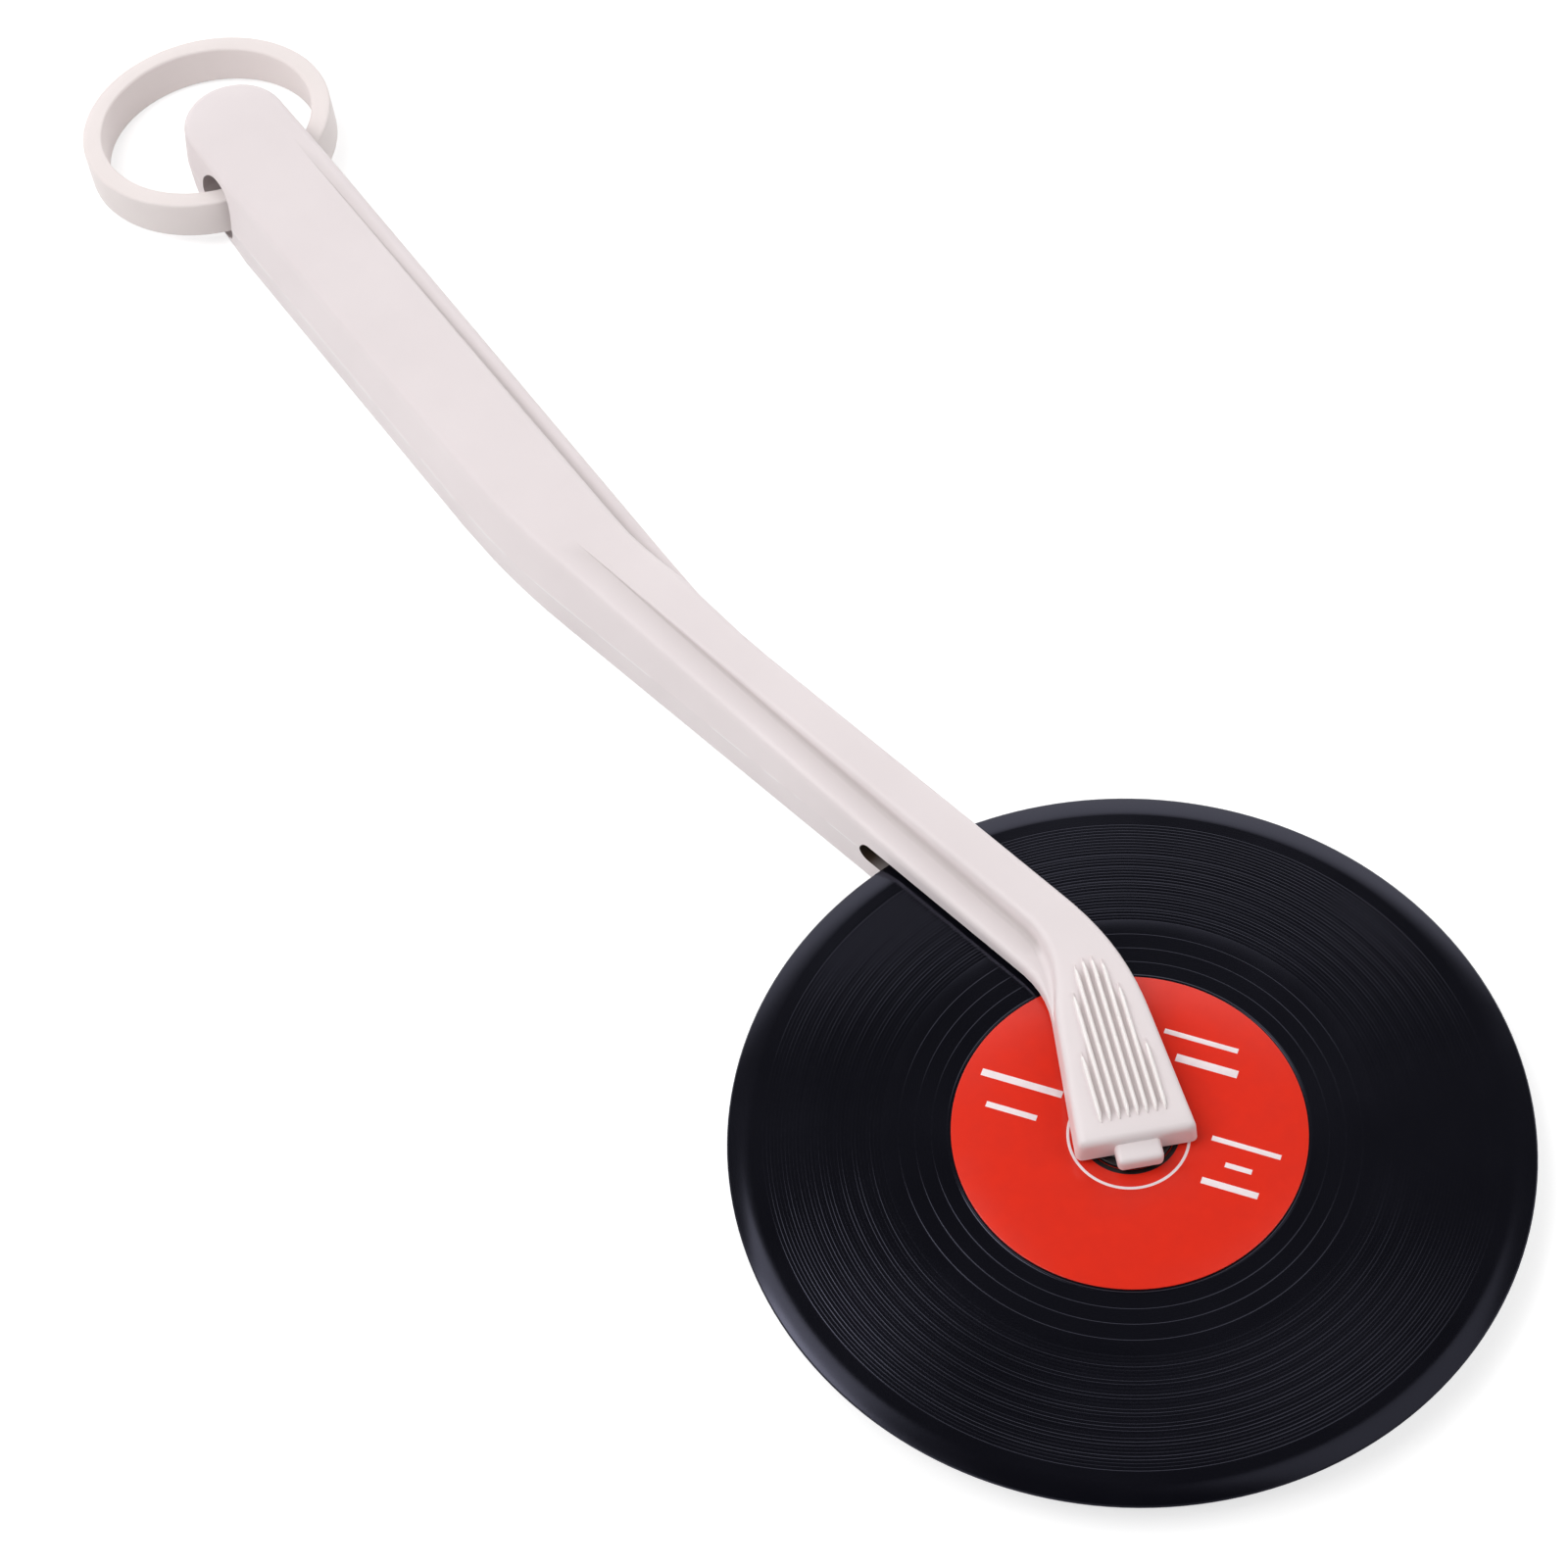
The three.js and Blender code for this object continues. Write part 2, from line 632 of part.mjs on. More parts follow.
// Self-tapping screw with a rounded pan head and a pointed shank.
function screw(number, place) {
  const head = SCREW_HEAD_RADIUS;
  const crown = 0.55 * SCREW_HEAD_HEIGHT;
  const profile = [
    [0, screwFoot], [0.7 * head, screwFoot + 0.1 * SCREW_HEAD_HEIGHT], [head, screwFoot + crown],
    [head, screwSeat], [SCREW_SHANK_RADIUS, screwSeat],
    [SCREW_SHANK_RADIUS, SCREW_GRIP_ABOVE - SCREW_POINT], [0, SCREW_GRIP_ABOVE],
  ];
  const geometry = geometryOf(solidOf(turned(profile, SCREW_FACETS)));
  const mesh = named(`shell_screw_${number}`, geometry, '#8f9296', 0.35, 1);
  mesh.position.set(place.x, place.y, 0);
  return mesh;
}

// Pieces of the wheel

const bushTop = BLADE_THICKNESS / 2 + GLUE_GAP + BUSH_FLANGE_THICKNESS;

// Disc ground to an edge from both faces, with a bore for the bush.
function blade() {
  const half = BLADE_THICKNESS / 2;
  const bore = BUSH_BARREL_RADIUS + SEAT_GAP;
  const shoulder = BLADE_RADIUS - BEVEL_WIDTH;
  const edge = EDGE_THICKNESS / 2;
  const profile = [
    [bore, -half], [shoulder, -half], [BLADE_RADIUS, -edge],
    [BLADE_RADIUS, edge], [shoulder, half], [bore, half], [bore, -half],
  ];
  return named('blade', geometryOf(solidOf(turned(profile, BLADE_FACETS))), '#15151a', 0.3, 0.2);
}

function label(name) {
  const low = BLADE_THICKNESS / 2 + GLUE_GAP;
  const inner = BUSH_FLANGE_RADIUS + RUNNING_GAP;
  const ring = washer(inner, LABEL_RADIUS, low, low + LABEL_THICKNESS, LABEL_FACETS);
  return named(name, ring, '#dd301f', 0.4);
}

// Half of the flanged bush that carries the blade on its axle.
function hubBush(name) {
  const inner = AXLE_RADIUS + RUNNING_GAP;
  const flangeFoot = BLADE_THICKNESS / 2 + GLUE_GAP;
  const profile = [
    [inner, GLUE_GAP], [BUSH_BARREL_RADIUS, GLUE_GAP], [BUSH_BARREL_RADIUS, flangeFoot],
    [BUSH_FLANGE_RADIUS, flangeFoot], [BUSH_FLANGE_RADIUS, bushTop], [inner, bushTop],
    [inner, GLUE_GAP],
  ];
  return named(name, geometryOf(solidOf(turned(profile, HUB_FACETS))), '#1b1b1e', 0.4);
}

// Thin washer between the bush and the tine.
function thrustWasher(name) {
  const low = SLOT_HALF_HEIGHT - SEAT_GAP - WASHER_THICKNESS;
  const inner = AXLE_RADIUS + SEAT_GAP;
  const ring = washer(inner, WASHER_RADIUS, low, low + WASHER_THICKNESS, HUB_FACETS);
  return named(name, ring, '#202023', 0.35);
}

// Turns a piece of the upper side over to the lower side.
function below(mesh) {
  mesh.rotation.x = Math.PI;
  return mesh;
}

// Hanging ring, a flat band with broken edges
function hangRing() {
  const inner = RING_RADIUS - RING_BAND;
  const half = RING_HEIGHT / 2;
  const c = RING_CHAMFER;
  const profile = [
    [inner, c - half], [inner + c, -half], [RING_RADIUS - c, -half], [RING_RADIUS, c - half],
    [RING_RADIUS, half - c], [RING_RADIUS - c, half], [inner + c, half], [inner, half - c],
    [inner, c - half],
  ];
  const geometry = geometryOf(solidOf(turned(profile, RING_FACETS)));
  const mesh = named('hang_ring', geometry, COAT, 0.45);
  mesh.position.set(-RING_SETBACK, RING_SIDE_SHIFT, 0);
  return mesh;
}

// Assembly, level with the blade

const handle = new THREE.Group();
handle.add(upperShell(), lowerShell(), axlePin());
handle.add(thrustWasher('thrust_washer_top'), below(thrustWasher('thrust_washer_bottom')));
screwPlaces.forEach((place, i) => handle.add(screw(i + 1, place)));

const wheel = new THREE.Group();
wheel.add(blade(), label('label_top'), below(label('label_bottom')));
wheel.add(hubBush('hub_bush_top'), below(hubBush('hub_bush_bottom')));

const ringPivot = new THREE.Group();
ringPivot.position.set(tailEnd + RING_HOLE_FROM_END, tailCentre.y, 0);
ringPivot.rotation.y = -RING_DROOP;
ringPivot.add(hangRing());

const pizzaWheel = new THREE.Group();
pizzaWheel.position.z = UNDERSIDE;
pizzaWheel.add(handle, wheel, ringPivot);

export default pizzaWheel;
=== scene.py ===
"""Dresses the pizza wheel: a black record-like disc in a pale tone-arm handle, on a white floor.

Lengths are in millimetres, apart from those of the lamps and the floor, which are in metres.
"""

import json
import logging
import math
from collections.abc import Iterator, Sequence
from contextlib import contextmanager
from dataclasses import dataclass
from enum import Enum
from functools import cache
from itertools import pairwise

import bpy
from mathutils import Matrix, Vector


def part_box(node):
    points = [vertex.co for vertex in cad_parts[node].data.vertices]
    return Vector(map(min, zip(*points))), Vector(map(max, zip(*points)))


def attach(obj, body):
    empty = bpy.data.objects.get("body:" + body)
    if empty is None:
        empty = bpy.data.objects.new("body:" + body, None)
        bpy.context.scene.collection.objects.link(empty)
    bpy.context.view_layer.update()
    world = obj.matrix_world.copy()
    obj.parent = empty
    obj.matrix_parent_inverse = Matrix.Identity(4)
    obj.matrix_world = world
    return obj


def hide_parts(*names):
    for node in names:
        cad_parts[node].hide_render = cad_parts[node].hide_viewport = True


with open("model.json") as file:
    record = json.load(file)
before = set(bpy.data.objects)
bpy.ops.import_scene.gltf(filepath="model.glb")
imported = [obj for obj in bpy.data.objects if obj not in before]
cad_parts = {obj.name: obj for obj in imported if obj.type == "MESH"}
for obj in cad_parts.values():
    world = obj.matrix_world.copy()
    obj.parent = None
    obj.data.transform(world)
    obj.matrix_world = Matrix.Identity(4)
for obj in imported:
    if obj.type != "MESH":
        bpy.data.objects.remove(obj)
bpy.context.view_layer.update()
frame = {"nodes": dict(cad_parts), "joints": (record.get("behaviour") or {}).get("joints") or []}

MM = 0.001
LOG = logging.getLogger("pizza_wheel")
WHITE = "#ffffff"
# Attribute of the shells that says how hollow each corner is, which their finish darkens as painted
# shade
HOLLOW = "hollow"
# Sockets of a mix node that mixes colours: first colour, second colour and result
MIX_FIRST, MIX_SECOND, MIX_RESULT = 6, 7, 2
# Corners nearer than this are merged, in a turned piece and in a copied node
TURNED_MERGE = 0.001 * MM
COPIED_MERGE = 0.002 * MM
# Largest share of an edge that one rounding takes
ROUND_SHARE = 0.45

Profile = list[tuple[float, float]]
Shape = tuple[tuple[float, float], ...]
Tree = bpy.types.NodeTree
Socket = bpy.types.NodeSocket
Piece = bpy.types.Object
Material = bpy.types.Material
Polygon = bpy.types.MeshPolygon


class Body(Enum):
    """Rigid bodies that the pieces ride on."""

    HANDLE = "handle"
    WHEEL = "wheel"
    RING = "ring"


class Slot(Enum):
    """Material slots of the record."""

    HANDLE = "handle_plastic"
    BLADE = "coated_steel"
    LABEL = "label_film"
    BUSH = "bush_plastic"
    WASHER = "washer_plastic"
    SCREW = "screw_steel"


class Kind(Enum):
    """Shader nodes that the finishes and the studio are made of."""

    ATTRIBUTE = "ShaderNodeAttribute"
    BUMP = "ShaderNodeBump"
    COMBINE = "ShaderNodeCombineXYZ"
    COORDS = "ShaderNodeTexCoord"
    LIGHT_PATH = "ShaderNodeLightPath"
    MAPPING = "ShaderNodeMapping"
    MATH = "ShaderNodeMath"
    MIX = "ShaderNodeMix"
    NOISE = "ShaderNodeTexNoise"
    RAMP = "ShaderNodeValToRGB"
    RANGE = "ShaderNodeMapRange"
    SEPARATE = "ShaderNodeSeparateXYZ"
    VECTOR = "ShaderNodeVectorMath"
    WAVE = "ShaderNodeTexWave"


class Face(Enum):
    """Upper or lower face of the disc, as the sign of its height."""

    TOP = 1
    BOTTOM = -1

    @property
    def word(self) -> str:
        """Name of the face inside a piece's name."""
        return self.name.lower()

    @property
    def place(self) -> Matrix:
        """Places a piece that was made above the origin.

        Returns:
            Its turn and lift to this face of the disc.
        """
        low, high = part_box("blade")
        lift = Matrix.Translation((0, 0, (low.z + high.z) / 2))
        return lift if self is Face.TOP else lift @ Matrix.Rotation(math.pi, 4, "X")


@dataclass(frozen=True)
class RidgeRow:
    """Ridges of the headshell in pairs about a middle line, the pairs shorter towards the sides."""

    pairs: int = 4
    pitch: float = 1.17
    shift: float = 0.28
    turn_deg: float = -22.3
    start: float = -22.5
    end: float = 0.9
    stagger: float = 0.8
    stagger_power: float = 2.55


RIDGES = RidgeRow()


# Colours and shader nodes


def linear(code: str) -> tuple[float, float, float, float]:
    """Turns an sRGB hex colour into linear light.

    Args:
        code: six hex digits after a hash sign.

    Returns:
        Red, green, blue and an alpha of one.
    """
    parts = [int(code[i : i + 2], 16) / 255 for i in (1, 3, 5)]
    light = [p / 12.92 if p <= 0.04045 else ((p + 0.055) / 1.055) ** 2.4 for p in parts]
    return (*light, 1.0)


def add_node(
    tree: Tree, kind: Kind, settings: dict | None = None, links: dict | None = None,
    output: str | int = 0,
) -> Socket:
    """Adds one shader node.

    Args:
        tree: the node tree that takes it.
        kind: the type of node.
        settings: values by the name or number of an input socket, else by the name of a property.
        links: output sockets by the name or number of the input that they feed.
        output: name or number of the output that is wanted.

    Returns:
        That output of the new node.
    """
    node = tree.nodes.new(kind.value)
    for key, value in (settings or {}).items():
        if isinstance(key, int) or key in node.inputs:
            node.inputs[key].default_value = value
        else:
            setattr(node, key, value)
    for key, socket in (links or {}).items():
        tree.links.new(socket, node.inputs[key])
    return node.outputs[output]


# Finishes


@dataclass(frozen=True)
class Finish:
    """What all finishes share: two near shades in blotches, an uneven polish and a fine relief.

    The reliefs are drawn a few times coarser than the real ones, so that they show in the render.
    """

    name: str
    colour: str
    shade: str
    roughness: float
    uneven: float = 0.05
    blotch_mm: float = 16.0
    blotch_span: tuple[float, float] = (0.3, 0.7)
    relief_mm: float = 0.32
    relief_strength: float = 0.4
    depth_mm: float = 0.012
    ior: float = 1.5
    metallic: float = 0.0
    tint: str = WHITE

    def tone(self, tree: Tree, place: Socket, colour: Socket) -> Socket:
        """Gives the final colour; a finish with marks of its own lays them over the shades here."""
        return colour

    def relief(self, tree: Tree, place: Socket) -> Socket:
        """Adds the pattern that stands out of the surface, here an even grain.

        Args:
            tree: the material's node tree.
            place: object coordinates in millimetres.

        Returns:
            Height from nought to one.
        """
        grain = {"Scale": 1 / self.relief_mm, "Detail": 2.0, "Roughness": 0.55}
        return add_node(tree, Kind.NOISE, grain, {"Vector": place})

    @cache
    def build(self) -> Material:
        """Makes the material at its first use.

        Returns:
            A procedural material on object coordinates.
        """
        material = bpy.data.materials.new(self.name)
        material.use_nodes = True
        tree = material.node_tree
        shader = tree.nodes["Principled BSDF"]
        shader.inputs["IOR"].default_value = self.ior
        shader.inputs["Metallic"].default_value = self.metallic
        shader.inputs["Specular Tint"].default_value = linear(self.tint)
        metres = add_node(tree, Kind.COORDS, output="Object")
        place = add_node(tree, Kind.MAPPING, {"Scale": (1 / MM,) * 3}, {"Vector": metres})
        clouds = {"Scale": 1 / self.blotch_mm, "Detail": 3.0}
        blotches = add_node(tree, Kind.NOISE, clouds, {"Vector": place})
        span = {"From Min": self.blotch_span[0], "From Max": self.blotch_span[1]}
        share = add_node(tree, Kind.RANGE, span, {"Value": blotches})
        shades = {MIX_FIRST: linear(self.colour), MIX_SECOND: linear(self.shade)}
        colour = add_node(tree, Kind.MIX, {"data_type": "RGBA", **shades}, {0: share}, MIX_RESULT)
        limits = {"To Min": self.roughness - self.uneven, "To Max": self.roughness + self.uneven}
        polish = add_node(tree, Kind.RANGE, limits, {"Value": share})
        depth = {"Strength": self.relief_strength, "Distance": self.depth_mm * MM}
        normal = add_node(tree, Kind.BUMP, depth, {"Height": self.relief(tree, place)})
        tree.links.new(self.tone(tree, place, colour), shader.inputs["Base Color"])
        tree.links.new(polish, shader.inputs["Roughness"])
        tree.links.new(normal, shader.inputs["Normal"])
        return material


@dataclass(frozen=True)
class TurnedFinish(Finish):
    """A metal off the lathe, whose relief is fine rings about the Z axis."""

    metallic: float = 1.0
    blotch_mm: float = 1.2
    relief_mm: float = 0.15
    depth_mm: float = 0.004

    def relief(self, tree: Tree, place: Socket) -> Socket:
        """Adds the rings that the tool leaves.

        Args:
            tree: the material's node tree.
            place: object coordinates in millimetres.

        Returns:
            Height from nought to one.
        """
        rings = {"wave_type": "RINGS", "rings_direction": "Z", "Distortion": 0.4}
        rings["Scale"] = 1 / self.relief_mm
        return add_node(tree, Kind.WAVE, rings, {"Vector": place}, "Fac")


@dataclass(frozen=True)
class ShellFinish(Finish):
    """A moulding in two halves, with painted light: a broken pale line along its flash, which is a
    painted highlight, and painted shade in its hollow edges, between the ridges, in the end of the
    slot and in the hole for the ring.

    The line is drawn twice as broad as the real one, so that it shows in the render.
    """

    parting_mm: float = 6.0
    # The pale broken line along the flash is a painted highlight
    line_mm: float = 0.22
    flash_highlight_colour: str = "#fffcfb"
    dash_mm: float = 5.0
    dash_span: tuple[float, float] = (0.4, 0.5)
    # Painted shade, dark brown, in the round end of the slot and in the hole for the ring
    slot_half_mm: float = 1.53
    slot_turn_deg: float = 9.4
    slot_centre_mm: float = -52.7
    slot_fade_mm: float = 9.0
    hole_x_mm: float = -207.0
    hole_radius_mm: float = 5.06
    hole_shade_share: float = 0.3
    recess_shade_colour: str = "#37291f"
    # Painted shade in the gaps between the ridges of the headshell
    gap_wave: tuple[float, float] = (-0.3, 0.5)
    gap_shade_share: float = 0.55
    gap_end_mm: float = 0.7
    gap_reach_mm: float = 4.35
    gap_foot_mm: float = 10.6
    start_fade_mm: float = 2.0
    end_fade_mm: float = 1.2
    side_fade_mm: float = 0.2
    foot_fade_mm: float = 0.1
    # Strength of the painted shade in the hollow edges
    crease_shade_share: float = 0.85
    # Colour of the painted shade in the hollow edges and between the ridges
    painted_shade: str = "#bdb3b1"

    def flash_highlight(self, tree: Tree, place: Socket) -> Socket:
        """Marks the broken pale line along the flash, a painted highlight, at the height where the
        halves part.

        Args:
            tree: the material's node tree.
            place: object coordinates in millimetres.

        Returns:
            Share of the painted highlight, from nought to one.
        """
        height = add_node(tree, Kind.SEPARATE, None, {0: place}, "Z")
        level = {"operation": "SUBTRACT", 1: self.parting_mm}
        rise = add_node(tree, Kind.MATH, level, {0: height})
        off = add_node(tree, Kind.MATH, {"operation": "ABSOLUTE"}, {0: rise})
        near = {"From Min": self.line_mm / 2, "From Max": self.line_mm / 4}
        line = add_node(tree, Kind.RANGE, near, {"Value": off})
        dashes = {"Scale": 1 / self.dash_mm, "Detail": 1.0}
        dash = add_node(tree, Kind.NOISE, dashes, {"Vector": place})
        span = {"From Min": self.dash_span[0], "From Max": self.dash_span[1]}
        breaks = add_node(tree, Kind.RANGE, span, {"Value": dash})
        return add_node(tree, Kind.MATH, {"operation": "MULTIPLY"}, {0: line, 1: breaks})

    def dirt(self, tree: Tree, place: Socket) -> Socket:
        """Marks painted shade in the round end of the slot and in the hole for the ring.

        Args:
            tree: the material's node tree.
            place: object coordinates in millimetres.

        Returns:
            Share of the painted shade, from nought to one.
        """
        turn = math.radians(self.slot_turn_deg)
        ahead = {"operation": "DOT_PRODUCT", 1: (math.cos(turn), math.sin(turn), 0.0)}
        along = add_node(tree, Kind.VECTOR, ahead, {0: place}, "Value")
        centre = {"operation": "SUBTRACT", 1: self.slot_centre_mm}
        past = add_node(tree, Kind.MATH, centre, {0: along})
        behind = add_node(tree, Kind.MATH, {"operation": "MINIMUM", 1: 0.0}, {0: past})
        height = add_node(tree, Kind.SEPARATE, None, {0: place}, "Z")
        level = {"operation": "SUBTRACT", 1: self.parting_mm}
        rise = add_node(tree, Kind.MATH, level, {0: height})
        round_end = add_node(tree, Kind.COMBINE, None, {0: behind, 1: rise})
        reach = add_node(tree, Kind.VECTOR, {"operation": "LENGTH"}, {0: round_end}, "Value")
        within = {"operation": "LESS_THAN", 1: self.slot_half_mm}
        slot = add_node(tree, Kind.MATH, within, {0: reach})
        fade = {"From Min": self.slot_fade_mm, "From Max": 0.0}
        deep = add_node(tree, Kind.RANGE, fade, {"Value": past})
        slot_shade = add_node(tree, Kind.MATH, {"operation": "MULTIPLY"}, {0: slot, 1: deep})
        axis = {"operation": "SUBTRACT", 1: (self.hole_x_mm, 0.0, self.parting_mm)}
        hole = add_node(tree, Kind.VECTOR, axis, {0: place})
        across = {"operation": "MULTIPLY", 1: (1.0, 0.0, 1.0)}
        radial = add_node(tree, Kind.VECTOR, across, {0: hole})
        radius = add_node(tree, Kind.VECTOR, {"operation": "LENGTH"}, {0: radial}, "Value")
        within = {"operation": "LESS_THAN", 1: self.hole_radius_mm}
        bore = add_node(tree, Kind.MATH, within, {0: radius})
        weak = {"operation": "MULTIPLY", 1: self.hole_shade_share}
        bore_shade = add_node(tree, Kind.MATH, weak, {0: bore})
        return add_node(tree, Kind.MATH, {"operation": "MAXIMUM"}, {0: slot_shade, 1: bore_shade})

    def ridge_gap_shade(self, tree: Tree, place: Socket) -> Socket:
        """Marks painted shade in the gaps between the ridges, each as long as its shorter
        neighbour.

        Args:
            tree: the material's node tree.
            place: object coordinates in millimetres.

        Returns:
            Share of the painted shade, from nought to one.
        """
        turn = math.radians(RIDGES.turn_deg)
        sideways = {"operation": "DOT_PRODUCT", 1: (-math.sin(turn), math.cos(turn), 0.0)}
        across = add_node(tree, Kind.VECTOR, sideways, {0: place}, "Value")
        middle = {"operation": "SUBTRACT", 1: RIDGES.shift}
        side = add_node(tree, Kind.MATH, middle, {0: across})
        rate = {"operation": "MULTIPLY", 1: math.tau / RIDGES.pitch}
        phase = add_node(tree, Kind.MATH, rate, {0: side})
        wave = add_node(tree, Kind.MATH, {"operation": "COSINE"}, {0: phase})
        low, high = self.gap_wave
        between = {"From Min": low, "From Max": high, "To Max": self.gap_shade_share}
        share = add_node(tree, Kind.RANGE, between, {"Value": wave})
        off = add_node(tree, Kind.MATH, {"operation": "ABSOLUTE"}, {0: side})
        number = add_node(tree, Kind.MATH, {"operation": "DIVIDE", 1: RIDGES.pitch}, {0: off})
        power = {"operation": "POWER", 1: RIDGES.stagger_power}
        bent = add_node(tree, Kind.MATH, power, {0: number})
        begin = {"operation": "MULTIPLY_ADD", 1: RIDGES.stagger, 2: RIDGES.start}
        start = add_node(tree, Kind.MATH, begin, {0: bent})
        ahead = {"operation": "DOT_PRODUCT", 1: (math.cos(turn), math.sin(turn), 0.0)}
        along = add_node(tree, Kind.VECTOR, ahead, {0: place}, "Value")
        past = add_node(tree, Kind.MATH, {"operation": "SUBTRACT"}, {0: along, 1: start})
        height = add_node(tree, Kind.SEPARATE, None, {0: place}, "Z")
        for value, none, full in (
            (past, 0.0, self.start_fade_mm),
            (along, self.gap_end_mm, self.gap_end_mm - self.end_fade_mm),
            (off, self.gap_reach_mm, self.gap_reach_mm - self.side_fade_mm),
            (height, self.gap_foot_mm, self.gap_foot_mm + self.foot_fade_mm),
        ):
            fade = {"From Min": none, "From Max": full}
            edge = add_node(tree, Kind.RANGE, fade, {"Value": value})
            share = add_node(tree, Kind.MATH, {"operation": "MULTIPLY"}, {0: share, 1: edge})
        return share

    def tone(self, tree: Tree, place: Socket, colour: Socket) -> Socket:
        """Lays the painted highlight along the flash, and the painted shade in the hollow edges,
        between the ridges, in the slot's end and in the ring's hole, over the shades.

        Args:
            tree: the material's node tree.
            place: object coordinates in millimetres.
            colour: the shades of the plastic.

        Returns:
            The final colour.
        """
        # Painted shade in the hollow edges and between the ridges, the painted highlight of the
        # flash, and the painted shade in the slot and the hole
        hollow = add_node(tree, Kind.ATTRIBUTE, {"attribute_name": HOLLOW}, None, "Fac")
        thin = {"operation": "MULTIPLY", 1: self.crease_shade_share}
        crease_shade = add_node(tree, Kind.MATH, thin, {0: hollow})
        both = {0: crease_shade, 1: self.ridge_gap_shade(tree, place)}
        painted_shade = add_node(tree, Kind.MATH, {"operation": "MAXIMUM"}, both)
        flash_highlight, dirt = self.flash_highlight(tree, place), self.dirt(tree, place)
        for share, layer in ((flash_highlight, self.flash_highlight_colour), (painted_shade, self.painted_shade), (dirt, self.recess_shade_colour)):
            over = {"data_type": "RGBA", MIX_SECOND: linear(layer)}
            colour = add_node(tree, Kind.MIX, over, {0: share, MIX_FIRST: colour}, MIX_RESULT)
        return colour


# ABS from a spark-eroded mould: a warm off-white satin with a very fine grain and faint flow clouds
SHELL_ABS = ShellFinish("off_white_moulded_abs", "#f0e6e7", "#ece2e3", 0.42)
# The same ABS in one closed ring: no parting line
RING_ABS = Finish("off_white_moulded_abs_ring", "#f6ecea", "#f2e8e6", 0.42)
# The same ABS on the crests of the ridges, painted paler as their highlight, and smoother than the
# rest
RIDGE_HIGHLIGHT_ABS = Finish("off_white_abs_painted_highlight", "#fffaf8", "#fcf6f4", 0.3)
# Baked non-stick coat on steel: nearly black with a cold tint, glossy, with a fine orange peel
BLADE_COAT = Finish(
    "black_non_stick_coat", "#07070c", "#09090f", 0.15,
    uneven=0.03, blotch_mm=22.0, relief_mm=0.7, depth_mm=0.002, ior=1.58, tint="#dfe0ff",
)
# Polyester film printed from behind: an even, slightly mottled red under a glossy face
LABEL_FILM = Finish(
    "red_printed_polyester", "#e8311e", "#e32e1c", 0.2,
    uneven=0.03, blotch_mm=2.5, relief_mm=0.4, depth_mm=0.002, ior=1.45,
)
# Screen-printed white ink: flat and dense, a little duller than the film under it
LABEL_INK = Finish(
    "white_screen_ink", "#fbeef0", "#f5e6e9", 0.4,
    uneven=0.04, blotch_mm=1.5, relief_mm=0.25, depth_mm=0.003, ior=1.45,
)
# Screen-printed black ink: flat and dense
LABEL_DARK_INK = Finish(
    "black_screen_ink", "#0d0d0f", "#121214", 0.4,
    uneven=0.04, blotch_mm=1.5, relief_mm=0.25, depth_mm=0.003, ior=1.45,
)
# Acetal from the mould: a deep waxy black
BUSH_ACETAL = Finish(
    "black_moulded_acetal", "#131315", "#19191b", 0.38,
    blotch_mm=6.0, relief_mm=0.25, depth_mm=0.006, ior=1.48,
)
# Acetal polished for running: black with a sharp bright edge
WASHER_ACETAL = Finish(
    "black_polished_acetal", "#161618", "#1c1c1f", 0.16,
    uneven=0.04, blotch_mm=4.0, relief_mm=0.25, depth_mm=0.003, ior=1.48,
)
# Steel ground to size: bright grey with fine rings
PIN_STEEL = TurnedFinish("ground_dowel_steel", "#b9bcc0", "#a8abb0", 0.25)
# Steel with a thin zinc plate: pale bluish grey, a little cloudy
SCREW_STEEL = TurnedFinish("zinc_plated_steel", "#a3a6aa", "#898c91", 0.3, uneven=0.08)


# Modelling by hand


def deselect_all() -> None:
    """Leaves edit mode and selects nothing."""
    if bpy.context.object and bpy.context.object.mode != "OBJECT":
        bpy.ops.object.mode_set(mode="OBJECT")
    bpy.ops.object.select_all(action="DESELECT")


def make_active(*pieces: Piece) -> None:
    """Selects these pieces alone and makes the first one active.

    Args:
        pieces: objects of the scene.
    """
    deselect_all()
    for piece in pieces:
        piece.select_set(True)
    bpy.context.view_layer.objects.active = pieces[0]


@contextmanager
def edit_mesh(piece: Piece) -> Iterator[None]:
    """Opens one piece in edit mode with all of it selected, and closes it afterwards.

    Args:
        piece: the mesh to edit.

    Returns:
        A context that lasts as long as edit mode.
    """
    make_active(piece)
    bpy.ops.object.mode_set(mode="EDIT")
    bpy.ops.mesh.select_all(action="SELECT")
    yield
    bpy.ops.object.mode_set(mode="OBJECT")


def name_active(name: str) -> Piece:
    """Names the active object and its mesh, and puts its place into the mesh.

    Args:
        name: name of the piece.

    Returns:
        The named object.
    """
    bpy.ops.object.transform_apply(location=True, rotation=True, scale=True)
    piece = bpy.context.active_object
    piece.name = name
    piece.data.name = name
    return piece


def copy_mesh(name: str, source: Piece) -> Piece:
    """Copies a piece with a mesh of its own.

    Args:
        name: name of the copy.
        source: the piece or CAD node to copy.

    Returns:
        The copy, at the origin.
    """
    piece = bpy.data.objects.new(name, source.data.copy())
    piece.data.name = name
    bpy.context.scene.collection.objects.link(piece)
    return piece


def settle(piece: Piece, place: Matrix) -> None:
    """Moves a piece to its place and puts that place into its mesh.

    Args:
        piece: a piece that was made at the origin.
        place: its turn and shift in the frame of the part.
    """
    make_active(piece)
    piece.matrix_world = place
    bpy.ops.object.transform_apply(location=True, rotation=True, scale=True)


